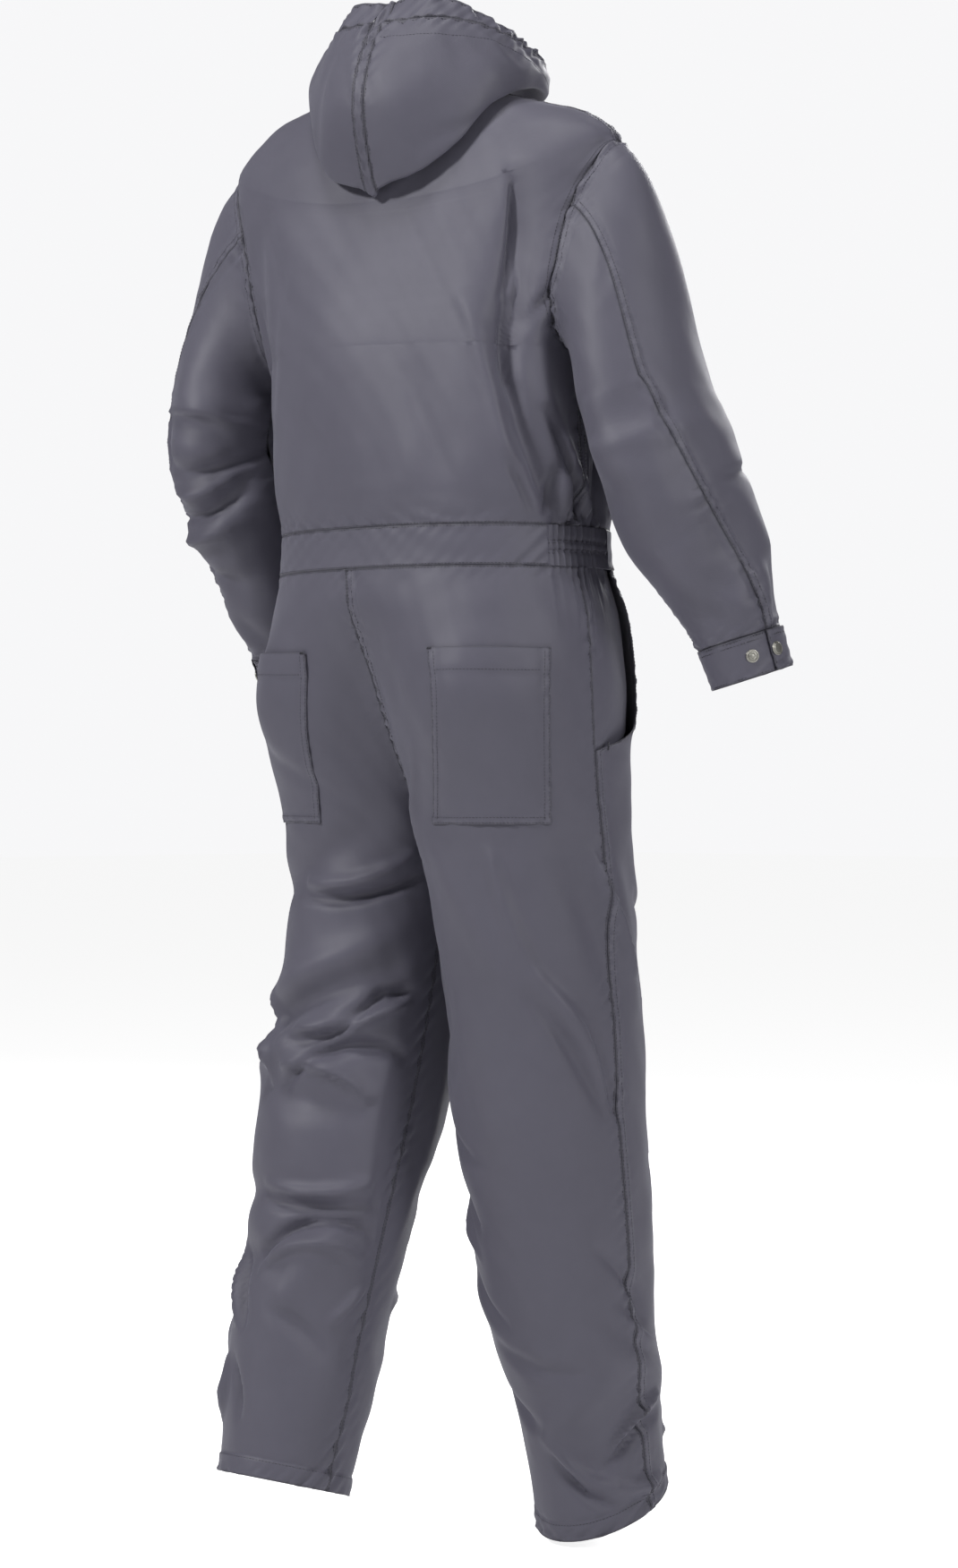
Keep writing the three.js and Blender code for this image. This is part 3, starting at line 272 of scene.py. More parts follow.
PELVIS_RINGS = table(
    "height x y side back front square",
    [
        [1091, -2, -2, 195, 144, 138, 2.3],
        [1048, -2, -2, 198, 146, 141, 2.3],
        [1000, -5, -4, 206, 158, 148, 2.35],
        [940, -5, -3, 213, 174, 153, 2.4],
        [865, -4, -3, 216, 180, 156, 2.4],
        [800, -3, -5, 215, 174, 152, 2.4],
        [745, 0, -8, 210, 164, 146, 2.4],
    ],
)
SEAM_CURVES = table(
    "height seat front",
    [
        [1048, 144, -143], [1010, 144, -150], [976, 130, -152], [940, 112, -150], [900, 95, -143],
        [860, 76, -127], [820, 54, -100], [785, 30, -62], [762, 12, -30], [745, CROTCH_Y, CROTCH_Y],
    ],
)
LEG_NAMES = "height x y wide deep tilt"
LEGS = {
    "right": table(LEG_NAMES, [
        [1048, -104, -20, 106, 116, 0], [745, -106, -24, 105, 118, 0], [703, -107, -30, 104, 118, 0],
        [600, -109, -40, 104, 112, 0], [470, -110, -52, 101, 109, 0], [338, -109, -74, 95, 101, 0.03],
        [224, -108, -94, 84, 90, 0.1], [155, -107, -117, 76, 80, 0.2], [90, -106, -130, 71, 74, 0.34],
        [38, -105, -140, 70, 72, 0.44],
    ]),
    "left": table(LEG_NAMES, [
        [1048, 103, -10, 104, 112, 0], [745, 103, -8, 101, 110, 0], [703, 100, -5, 98, 107, 0],
        [600, 101, 8, 97, 106, 0], [470, 105, 34, 99, 108, 0], [338, 106, 69, 88, 92, -0.06],
        [224, 109, 98, 80, 86, -0.14], [157, 109, 111, 76, 80, -0.2], [100, 111, 124, 70, 73, -0.26],
        [66, 112, 131, 69, 72, -0.28],
    ]),
}
HEMS = {"right": 38, "left": 66}

# Creases of each leg: place is the part of the way round, 0 at the inseam, 0.25 back, 0.5 outside
LEG_CREASES = {
    "right": [
        [0.16, 800, 0.42, 540, 26, 7],
        [0.10, 700, 0.22, 470, 30, -5],
        [0.50, 780, 0.56, 590, 20, 8],
        [0.44, 760, 0.50, 600, 18, -6],
        [0.05, 610, 0.16, 520, 20, -6],
        [0.30, 90, 0.52, 150, 20, -8],
        [0.22, 130, 0.44, 190, 18, 8],
        [0.40, 230, 0.60, 180, 20, 7],
        [0.02, 420, 0.20, 350, 22, -6],
        [0.04, 300, 0.22, 250, 20, 5],
        [0.62, 640, 0.86, 560, 24, -8],
        [0.64, 480, 0.90, 430, 24, -7],
        [0.66, 300, 0.88, 240, 22, -7],
        [0.33, 745, 0.38, 620, 9, 3.5, 6, 0.3],
        [0.38, 620, 0.48, 505, 8, 4, -5, 0.3],
        [0.36, 600, 0.47, 480, 8, -3.5, -5, 0],
        [0.49, 740, 0.55, 625, 6, 4, 4, 0.3],
        [0.455, 560, 0.50, 470, 7, -3.5],
        [0.27, 140, 0.42, 82, 7, 4, 8, 0.3],
        [0.42, 82, 0.56, 62, 7, 3.5, 4, 0],
        [0.28, 118, 0.40, 66, 6, -4, 6, 0],
        [0.42, 120, 0.56, 160, 6, 4.5, -6, 0.3],
        [0.40, 104, 0.55, 138, 6, -4, -6, 0],
        [0.13, 400, 0.20, 350, 6, -3, 4, 0],
        [0.12, 372, 0.18, 322, 6, 3, 4, 0],
        [0.14, 300, 0.24, 252, 7, -3, 4, 0.2],
        [0.10, 470, 0.24, 420, 8, -2.5, 8, 0],
        [0.44, 330, 0.54, 250, 8, -3, -5, 0],
        [0.47, 262, 0.58, 215, 7, 3.5, 5, 0.2],
        [0.12, 860, 0.18, 740, 10, 3, 4, 0],
        [0.14, 180, 0.26, 150, 7, -3.5, 5, 0],
        [0.20, 230, 0.38, 205, 8, -3, 7, 0.2],
        [0.60, 700, 0.78, 655, 10, -4, 9, 0.2],
        [0.66, 590, 0.92, 520, 9, 3.5, 8, 0],
        [0.64, 420, 0.84, 380, 9, -4, 8, 0.2],
        [0.68, 350, 0.90, 300, 9, 3.5, 6, 0],
        [0.62, 150, 0.86, 120, 8, -4, 8, 0.2],
        [0.64, 100, 0.84, 78, 7, 3.5, 6, 0],
    ],
    "left": [
        [0.40, 690, 0.10, 780, 20, -9],
        [0.42, 540, 0.10, 620, 17, -14],
        [0.40, 580, 0.08, 660, 18, 9],
        [0.40, 510, 0.14, 575, 16, 9],
        [0.34, 500, 0.12, 470, 18, -9],
        [0.46, 580, 0.38, 500, 16, 8],
        [0.44, 370, 0.16, 385, 18, -7],
        [0.42, 310, 0.18, 300, 20, -9],
        [0.44, 250, 0.40, 190, 16, 7],
        [0.06, 400, 0.20, 250, 24, 7],
        [0.62, 620, 0.88, 540, 24, -8],
        [0.60, 440, 0.90, 380, 24, -8],
        [0.64, 250, 0.86, 200, 22, 6],
        [0.27, 700, 0.03, 730, 7, -5, -16, 0.3],
        [0.26, 716, 0.06, 746, 7, 4, -14, 0],
        [0.25, 545, 0.10, 592, 8, -7, -14, 0.3],
        [0.24, 560, 0.02, 604, 7, 5.5, -14, 0],
        [0.10, 592, 0.02, 596, 8, -6],
        [0.26, 518, 0.10, 484, 8, 5.5, 16, 0.3],
        [0.25, 500, 0.02, 520, 8, -6, 30, 0],
        [0.36, 590, 0.30, 500, 7, 5, 5, 0.3],
        [0.27, 371, 0.03, 373, 7, -4.5, -8, 0.2],
        [0.27, 388, 0.06, 392, 7, 3.5, -8, 0],
        [0.25, 312, 0.01, 332, 8, -6, 26, 0.3],
        [0.25, 296, 0.05, 312, 8, 4.5, 24, 0],
        [0.37, 313, 0.30, 235, 7, 4, 5, 0.2],
        [0.33, 300, 0.27, 230, 7, -4, 5, 0],
        [0.34, 190, 0.36, 128, 7, 4.5, 8, 0.2],
        [0.30, 188, 0.26, 130, 8, -3.5, 5, 0],
        [0.03, 395, 0.01, 293, 8, 4, 3, 0.2],
        [0.01, 293, 0.07, 245, 7, 4, 3, 0],
        [0.20, 250, 0.08, 210, 10, -3, 6, 0],
        [0.30, 860, 0.14, 800, 12, -3.5, 8, 0],
        [0.60, 700, 0.80, 650, 10, -4, 9, 0.2],
        [0.64, 570, 0.90, 500, 9, 3.5, 8, 0],
        [0.62, 380, 0.86, 330, 9, -4, 8, 0.2],
        [0.64, 300, 0.88, 262, 9, 3.5, 6, 0],
        [0.60, 150, 0.86, 130, 8, -4, 8, 0.2],
    ],
}


def leg_blend(height):
    return smooth((LEG_BLEND_TOP - height) / (LEG_BLEND_TOP - CROTCH_HEIGHT))


def trouser(side, place, row):
    place, row = np.broadcast_arrays(np.asarray(place, float), np.asarray(row, float))
    name = side_word(side)
    leg = read(LEGS[name], row)
    pelvis = read(PELVIS_RINGS, row)
    seam = read(SEAM_CURVES, row)
    part = leg_blend(row)
    half = place * np.pi
    power = 2 / pelvis["square"]
    depth = np.where(np.cos(half) > 0, pelvis["back"], pelvis["front"])
    pelvis_x = pelvis["x"] + side * pelvis["side"] * powered(np.sin(half), power)
    pelvis_y = pelvis["y"] + depth * powered(np.cos(half), power)
    x = lerp(pelvis_x, leg["x"] - side * leg["wide"] * np.cos(2 * half), part)
    y = lerp(pelvis_y, leg["y"] + leg["deep"] * np.sin(2 * half), part)
    upper = row >= CROTCH_HEIGHT
    inner = leg["x"] - side * leg["wide"]
    start_y = lerp(pelvis["y"] + pelvis["back"], leg["y"], part)
    end_y = lerp(pelvis["y"] - pelvis["front"], leg["y"], part)
    start_pull = np.maximum(0, 1 - place / SEAT_VALLEY) ** 1.6
    end_pull = np.maximum(0, 1 - (1 - place) / SEAT_VALLEY) ** 1.6
    upper_x = x + (pelvis["x"] - lerp(pelvis["x"], inner, part)) * (start_pull + end_pull)
    upper_y = y + (seam["seat"] - start_y) * start_pull + (seam["front"] - end_y) * end_pull
    clear = 1.5 + 0.05 * (CROTCH_HEIGHT - row)
    edge = np.minimum(place, 1 - place)
    near = np.maximum(0, 1 - edge / 0.2)
    pull = smooth(1 - (CROTCH_HEIGHT - row) / 60) * near**1.6
    lower_x = side * np.maximum(side * x, clear)
    lower_y = y + (CROTCH_Y - leg["y"]) * pull
    x = np.where(upper, upper_x, lower_x)
    y = np.where(upper, upper_y, lower_y)
    centre_x = lerp(pelvis["x"], leg["x"], part)
    centre_y = lerp(pelvis["y"], leg["y"], part)
    fade = smooth((1035 - row) / 60) * smooth(edge / 0.07)
    out = fade * relief(LEG_CREASES[name], place, row, 690)
    degrees = place * 180
    out = out + gathers(degrees) * np.exp(-np.abs(WAIST_BOTTOM - row) / 26)
    grow = out / np.hypot(x - centre_x, y - centre_y)
    height = row - leg["tilt"] * (y - leg["y"])
    return np.stack([x + (x - centre_x) * grow, y + (y - centre_y) * grow, height - HELD_HEIGHT], -1)


SIDE_OPENING = table(
    "height cut",
    [[1048, 0.14], [1000, 0.16], [950, 0.19], [910, 0.19], [885, 0.15], [868, 0.07], [857, 0]],
)
GAPE = 4


def opening_cut(height):
    return np.where(height > OPENING_END, np.maximum(0, read(SIDE_OPENING, height)["cut"]), 0)


def pushed_out(points, amount):
    away = np.hypot(points[..., 0], points[..., 1])
    step = points * np.array([1, 1, 0]) * (amount / away)[..., None]
    return points + step


def waist(degrees, height, out=0):
    degrees, height = np.broadcast_arrays(np.asarray(degrees, float), np.asarray(height, float))
    ring = read(PELVIS_RINGS, height)
    sine = np.sin(np.radians(degrees))
    cosine = np.cos(np.radians(degrees))
    x = ring["side"] * powered(sine, 2 / ring["square"])
    y = np.where(cosine > 0, ring["back"], ring["front"]) * powered(cosine, 2 / ring["square"])
    grow = 1 + out / np.hypot(x, y)
    return np.stack([ring["x"] + x * grow, ring["y"] + y * grow, height - HELD_HEIGHT], -1)


ARM_NAMES = "part x y height wide deep roll"
ARMS = {
    "right": table(ARM_NAMES, [
        [0, -262, -38, 1226, 60, 83, 26],
        [0.12, -273, -40, 1196, 61, 85, 34],
        [0.4, -291, -55, 1124, 66, 85, 45],
        [0.7, -313, -82, 1050, 58, 70, 53],
        [0.88, -326, -97, 1002, 48, 54, 59],
        [1, -333, -104, 972, 43, 46, 63],
    ]),
    "left": table(ARM_NAMES, [
        [0, 264, 68, 1230, 58, 84, 20],
        [0.12, 267, 68, 1200, 59, 86, 22],
        [0.4, 265, 42, 1128, 59, 77, 24],
        [0.7, 263, 17, 1058, 52, 66, 26],
        [0.88, 262, -3, 1008, 45, 53, 28],
        [1, 261, -15, 975, 42, 45, 30],
    ]),
}

# Creases of each arm: turn in degrees round it, 0 on the outside and 90 behind, and the part of its length
ARM_CREASES = {
    "right": [
        [40, 0.05, 150, 0.16, 0.05, -6],
        [30, 0.22, 140, 0.14, 0.05, 6],
        [60, 0.42, 160, 0.30, 0.05, -5],
        [20, 0.55, 70, 0.95, 0.07, 5],
        [90, 0.60, 150, 0.85, 0.06, -5],
        [280, 0.10, 200, 0.22, 0.06, -6],
        [150, -0.10, 100, 0.30, 0.035, -4, 0.02, 0.2],
        [130, 0.02, 84, 0.44, 0.03, 3, 0.02, 0],
        [160, 0.20, 110, 0.56, 0.035, -4, 0.02, 0.2],
        [60, 0.50, 30, 0.80, 0.03, -2.5, 0.02, 0],
        [120, 0.60, 84, 0.92, 0.026, 3, 0.02, 0.2],
        [100, 0.74, 130, 0.96, 0.024, -3],
        [50, 0.78, 66, 0.97, 0.022, 2.5],
        [20, 0.76, 36, 0.97, 0.022, -2.5],
        [-20, 0.40, 40, 0.48, 0.03, -2.5, 0.02, 0],
        [230, 0.40, 300, 0.46, 0.03, -4, 0.03, 0.2],
        [220, 0.52, 310, 0.50, 0.03, 3.5, 0.03, 0],
        [240, 0.64, 300, 0.72, 0.026, -3, 0.02, 0],
    ],
    "left": [
        [60, 0.02, 170, 0.10, 0.05, -9],
        [60, 0.14, 170, 0.12, 0.04, 8],
        [60, 0.26, 160, 0.16, 0.05, -8],
        [50, 0.40, 150, 0.50, 0.06, 6],
        [70, 0.62, 140, 0.80, 0.06, -5],
        [280, 0.10, 200, 0.22, 0.06, -6],
        [70, -0.14, 170, -0.02, 0.03, -5, 0.04, 0.2],
        [80, -0.04, 175, 0.08, 0.026, 4.5, 0.03, 0],
        [60, 0.08, 175, 0.17, 0.026, -5.5, -0.03, 0.3],
        [70, 0.20, 172, 0.20, 0.024, 4.5, -0.04, 0],
        [66, 0.34, 168, 0.24, 0.026, -5, -0.04, 0.3],
        [64, 0.46, 150, 0.34, 0.028, 4, -0.03, 0],
        [70, 0.58, 130, 0.72, 0.026, -3.5, 0.02, 0],
        [80, 0.76, 120, 0.96, 0.024, 3],
        [100, 0.80, 146, 0.97, 0.022, -3],
        [230, 0.20, 300, 0.12, 0.03, 4, 0.03, 0],
        [225, 0.36, 305, 0.42, 0.03, -4.5, 0.03, 0.2],
        [235, 0.62, 300, 0.70, 0.026, -3, 0.02, 0],
    ],
}


def unit(vectors):
    return vectors / np.maximum(np.linalg.norm(vectors, axis=-1, keepdims=True), 1e-9)


def dot(a, b):
    return np.sum(a * b, -1, keepdims=True)


def arm_frame(name, part):
    part = np.asarray(part, float)
    arm = read(ARMS[name], part)

    def centre_at(at):
        here = read(ARMS[name], at)
        return np.stack([here["x"], here["y"], here["height"] - HELD_HEIGHT], -1)

    along = unit(centre_at(part + 0.02) - centre_at(part - 0.02))
    outward = np.zeros_like(along) + np.array([-1.0 if name == "right" else 1.0, 0, 0])
    outward = unit(outward - along * dot(outward, along))
    rear = np.zeros_like(along) + np.array([0.0, 1.0, 0])
    rear = rear - along * dot(rear, along)
    rear = unit(rear - outward * dot(rear, outward))
    return arm, along, outward, rear, centre_at(part)


def arm_ring(name, turn, part):
    turn, part = np.broadcast_arrays(np.asarray(turn, float), np.asarray(part, float))
    arm, _, outward, rear, centre = arm_frame(name, part)
    angle = np.radians(turn - arm["roll"])
    near = np.abs((turn - 67.5 + 180) % 360 - 180)
    fade = 0.25 + 0.75 * smooth(near / 10)
    lift = sum(relief(ARM_CREASES[name], at, part, 0.0011) for at in (turn, turn - 360)) * fade
    grow = 1 + lift / arm["deep"]
    return (
        centre
        + outward * (arm["wide"] * np.cos(angle) * grow)[..., None]
        + rear * (arm["deep"] * np.sin(angle) * grow)[..., None]
    )


def armhole(side, turn):
    level = armhole_level(turn)
    gap = armhole_gap(level)
    wrapped = np.mod(turn, 360)
    return bodice(side * np.where(wrapped <= 180, 90 - gap, 90 + gap), level)


CAP_SPREAD = {"right": 0.8, "left": 1.0}


# The sleeve from the armhole, way 0, through the cap's end, way 1, to the cuff, way 2
def sleeve(side, turn, way):
    turn, way = np.broadcast_arrays(np.asarray(turn, float), np.asarray(way, float))
    name = side_word(side)
    start = armhole(side, turn)
    first = arm_ring(name, turn, np.zeros_like(turn))
    span = np.linalg.norm(first - start, axis=-1, keepdims=True)
    top = (1 + np.cos(np.radians(turn))) / 2
    leave = np.stack([side * lerp(0.8, CAP_SPREAD[name], top), 0 * top, -lerp(0.6, 0.5, top)], -1) * span
    arrive = arm_frame(name, np.zeros_like(turn))[1] * span
    p = np.clip(way, 0, 1)[..., None]
    cap = between(start, first, leave, arrive, p)
    arm = arm_ring(name, turn, np.clip(way - 1, 0, 1))
    return np.where(way[..., None] < 1, cap, arm)


HOOD_NAMES = "angle rise_r rise_h under_r under_h fold_r fold_h bulge_r bulge_h upper_r upper_h rim_r rim_h"
HOOD_PROFILES = table(HOOD_NAMES, [
    [0, 64, 1596, 92, 1530, 102, 1444, 131, 1533, 108, 1606, 66, 1653],
    [30, 68, 1596, 102, 1538, 118, 1466, 133, 1540, 116, 1608, 84, 1658],
    [47, 73, 1594, 108, 1550, 129, 1493, 135, 1550, 118, 1610, 90, 1655],
    [65, 79, 1592, 112, 1570, 133, 1538, 137, 1568, 121, 1610, 95, 1644],
    [95, 84, 1588, 108, 1583, 125, 1563, 131, 1581, 124, 1602, 114, 1618],
    [123, 84, 1572, 104, 1576, 126, 1562, 132, 1574, 131, 1584, 127, 1593],
    [150, 78, 1545, 88, 1552, 98, 1548, 106, 1553, 108, 1560, 107, 1567],
    [180, 71, 1518, 74, 1522, 78, 1525, 81, 1532, 82, 1540, 82, 1548],
])
HOOD_LEFT_EASE = 0.93
STRIP_PART = 0.056
STRIP_EASE_END = 26
STRIP_EASE_SPAN = 18
RIM_START = 5.4

# Creases of the hood: degrees from centre back, and part of the way from the neck seam, 0, to the rim, 6
HOOD_CREASES = [
    [-60, 3.5, -34, 5.4, 0.16, -2.5, 0.1, 0.2],
    [-78, 4.0, -52, 5.5, 0.14, 2.2, 0.1, 0],
    [-20, 3.5, -14, 4.8, 0.13, 2.0, 0.1, 0],
    [-48, 3.2, -22, 3.5, 0.12, -2.0, -0.1, 0.2],
    [34, 3.4, 22, 5.0, 0.16, -2.6, -0.1, 0.2],
    [54, 3.6, 44, 5.2, 0.14, 2.4, 0.1, 0],
    [78, 3.6, 66, 5.2, 0.13, -2.6],
    [-104, 4.2, -86, 5.2, 0.14, -2.2],
    [110, 4.2, 92, 5.2, 0.14, -2.2],
]


def hermite(knots, at):
    last = len(knots) - 1
    k = np.clip(np.ceil(at).astype(int) - 1, 0, last - 1)
    p = at - k
    stack = np.stack(knots)
    before = np.stack([knots[max(n - 1, 0)] for n in range(last + 1)])
    after = np.stack([knots[min(n + 1, last)] for n in range(last + 1)])
    width = np.array([1] + [2] * (last - 1) + [1], float).reshape(-1, *[1] * (stack.ndim - 1))
    slope = (after - before) / width

    def pick(source, index):
        return np.take_along_axis(source, index[None], 0)[0]

    return between(pick(stack, k), pick(stack, k + 1), pick(slope, k), pick(slope, k + 1), p)


def hood(degrees, part, out=0):
    degrees, part = np.broadcast_arrays(np.asarray(degrees, float), np.asarray(part, float))
    seam = bodice(degrees, 3.0)
    centre = carried(0.0, 0.0, float(HELD_HEIGHT))
    away = np.hypot(seam[..., 0] - centre[0], seam[..., 1] - centre[1])
    bearing = np.arctan2(seam[..., 0] - centre[0], seam[..., 1] - centre[1]) + SHOULDER_TURN
    bearing = (bearing + np.pi) % (2 * np.pi) - np.pi
    angle = np.degrees(np.abs(bearing))
    row = read(HOOD_PROFILES, angle)
    left = degrees > 0
    ease = np.where(left, lerp(1, HOOD_LEFT_EASE, smooth(angle / 50) * smooth((160 - angle) / 40)), 1)
    lift = np.where(left, LEFT_SHOULDER_LIFT * smooth((angle - 30) / 30) * smooth((150 - angle) / 30), 0)
    reach = hermite(
        [away, row["rise_r"], row["under_r"] * ease, row["fold_r"] * ease, row["bulge_r"] * ease,
         row["upper_r"] * ease, row["rim_r"] * ease], part)
    height = hermite(
        [seam[..., 2] + HELD_HEIGHT, row["rise_h"], row["under_h"] + lift, row["fold_h"] + lift,
         row["bulge_h"] + lift * 0.6, row["upper_h"], row["rim_h"]], part)
    fade = smooth((np.abs(degrees) - 5) / 8) * smooth((RIM_START - part) / 0.4)
    reach = reach + out + fade * relief(HOOD_CREASES, degrees, part, 0.035)
    narrowed = lerp(1, np.minimum(1, away / reach), smooth((STRIP_EASE_END - angle) / STRIP_EASE_SPAN))
    way = bearing * narrowed - SHOULDER_TURN
    return np.stack(
        [centre[0] + np.sin(way) * reach, centre[1] + np.cos(way) * reach, height - HELD_HEIGHT], -1)


# Small puckers that both sides of a seam share, and the slow waves of soft cloth
def pucker(points):
    x, y, z = points[..., 0], points[..., 1], points[..., 2]
    slow = 1.6 * np.sin(0.023 * z + 0.031 * x) + 1.2 * np.sin(0.027 * y - 0.019 * z)
    first = np.sin(0.30 * x + 0.22 * y + 0.37 * z + slow)
    second = np.sin(-0.24 * x + 0.33 * y + 0.26 * z + 2.1 - slow)
    return (first + 0.7 * second) * (0.75 + 0.35 * np.sin(0.05 * z + 0.04 * y))


def undulation(points):
    x, y, z = points[..., 0], points[..., 1], points[..., 2]
    bend = 1.4 * np.sin(0.013 * z + 0.4) + 0.9 * np.sin(0.017 * x + 0.011 * y)
    total = 0.6 * np.sin(0.055 * x + 0.048 * y + 0.020 * z + bend)
    total = total + 0.45 * np.sin(-0.071 * x + 0.052 * y + 0.041 * z - 1.3 * bend)
    total = total + 0.30 * np.sin(0.10 * x - 0.09 * y + 0.06 * z + 2 * bend)
    total = total + 0.20 * np.sin(0.16 * x + 0.13 * y - 0.11 * z + 3 * bend)
    return total


# A grid of points with its normals, its distances along the cloth, and what its edges are
class Panel:
    def __init__(self, points, inside, wave=1.0):
        self.points = points
        self.set_normals(inside)
        self.measure()
        shared = undulation(points) * wave
        edge = np.minimum.reduce([self.distance(edge) for edge in EDGES])
        self.points = points + self.normals * (shared * smooth(edge / 22))[..., None]
        self.seam = np.zeros(points.shape[:2])
        # gap carries the painted seam shade
        self.gap = np.zeros(points.shape[:2])
        self.drawn = np.zeros(points.shape[:2])

    def set_normals(self, inside):
        down = np.gradient(self.points, axis=0)
        across = np.gradient(self.points, axis=1)
        normals = unit(np.cross(across, down))
        away = self.points - inside
        self.flip = -1 if np.sum(normals * away * np.array([1, 1, 0])) < 0 else 1
        self.normals = normals * self.flip

    def measure(self):
        step_u = np.linalg.norm(np.diff(self.points, axis=1), axis=-1)
        step_v = np.linalg.norm(np.diff(self.points, axis=0), axis=-1)
        self.u = np.concatenate([np.zeros((len(step_u), 1)), np.cumsum(step_u, 1)], 1)
        self.v = np.concatenate([np.zeros((1, step_v.shape[1])), np.cumsum(step_v, 0)], 0)

    def distance(self, edge):
        if edge == "first":
            return self.u
        if edge == "last":
            return self.u[:, -1:] - self.u
        if edge == "top":
            return self.v
        return self.v[-1:] - self.v

    # A felled seam stands up beside the edge; every sewn edge puckers
    def sew(self, edge, strip=0.0, rise=0.9, tight=0.7):
        away = self.distance(edge)
        lift = pucker(self.points) * 2.1 * tight * np.exp(-away / 11) * smooth(away / 3 + 0.1)
        if strip:
            lift = lift + rise * smooth(away / 1.5) * smooth((strip + 1.5 - away) / 2)
            lift = lift - 0.5 * rise * hump(away, strip + 3, 2.5)
        self.drawn += lift
        # Painted shade: the gap value marks the seam line itself, where the colour is darkened towards
        # near-black to stand in for its shadow
        self.gap = np.maximum(self.gap, hump(away, 0, 1.5))
        self.seam = np.maximum(self.seam, hump(away, strip / 2, 3 + strip / 2))

    def shape(self):
        self.points = self.points + self.normals * self.drawn[..., None]
        self.drawn = np.zeros_like(self.drawn)

    # The line on the cloth at a distance from one edge, for sewing
    def line(self, edge, distance, start=0.0, end=0.0):
        away = self.distance(edge)
        rows = edge in ("first", "last")
        source = (self.points, self.normals, away) if rows else (
            self.points.transpose(1, 0, 2), self.normals.transpose(1, 0, 2), away.T)
        found = []
        for points, normals, far in zip(*source):
            if far[0] > far[-1]:
                points, normals, far = points[::-1], normals[::-1], far[::-1]
            both = np.concatenate([points, normals], -1)
            found.append([np.interp(distance, far, both[:, n]) for n in range(6)])
        found = np.array(found)
        travel = travelled(found[:, :3])
        keep = (travel >= start) & (travel <= travel[-1] - end)
        return found[keep]


# Places between two ends, close together beside them, where seams and hems are
EDGE_PLACES = np.array([0, 0.9, 1.9, 3.2, 5.5, 8.2, 9.8, 11.4, 13.5, 16.5])


def spaced(low, high, length, step=GRID, start=True, end=True):
    first = EDGE_PLACES if start else np.array([0.0])
    last = EDGE_PLACES if end else np.array([0.0])
    span = length - first[-1] - last[-1]
    middle = first[-1] + span * np.linspace(0, 1, max(2, int(round(span / step)) + 1))[1:-1]
    places = np.concatenate([first, middle, length - last[::-1]])
    return lerp(low, high, places / length)


# Meshes
def make_mesh(name, vertices, faces, material):
    mesh = bpy.data.meshes.new(name)
    mesh.from_pydata((np.asarray(vertices) / 1000).tolist(), [], np.asarray(faces).tolist())
    mesh.update()
    mesh.materials.append(material)
    mesh.shade_smooth()
    made = bpy.data.objects.new(name, mesh)
    bpy.context.collection.objects.link(made)
    return made


def grid_faces(rows, columns, flip):
    index = np.arange(rows * columns).reshape(rows, columns)
    a, b = index[:-1, :-1].ravel(), index[:-1, 1:].ravel()
    c, d = index[1:, 1:].ravel(), index[1:, :-1].ravel()
    return np.stack([a, b, c, d] if flip > 0 else [a, d, c, b], -1)


def cloth_piece(name, panel, material, thick=CLOTH_THICK):
    panel.shape()
    rows, columns = panel.points.shape[:2]
    faces = grid_faces(rows, columns, panel.flip)
    made = make_mesh(f"{name}_cloth", panel.points.reshape(-1, 3), faces, material)
    layer = made.data.uv_layers.new(name="cut")
    cut = np.stack([panel.u, panel.v], -1).reshape(-1, 2) / 1000
    layer.data.foreach_set("uv", cut[faces.ravel()].ravel())
    # seam marks where seams rub; gap marks the painted shade along seam lines
    for label, values in (("seam", panel.seam), ("gap", panel.gap)):
        made.data.attributes.new(label, "FLOAT", "POINT").data.foreach_set("value", values.ravel())
    wall = made.modifiers.new("cloth", "SOLIDIFY")
    wall.thickness = thick / 1000
    wall.offset = -1
    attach(made, "garment")
    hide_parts(name)


# Sewing thread: each stitch is a small prism that lies on the cloth
STITCH_PITCH = 3.8
STITCH_LONG = 2.9
STITCH_WIDE = 0.75
STITCH_HIGH = 0.42
STITCH_SUNK = 0.15
TACK_PITCH = 1.1
TACK_HALF_SPAN = 1.3
TACK_HIGH = 0.6


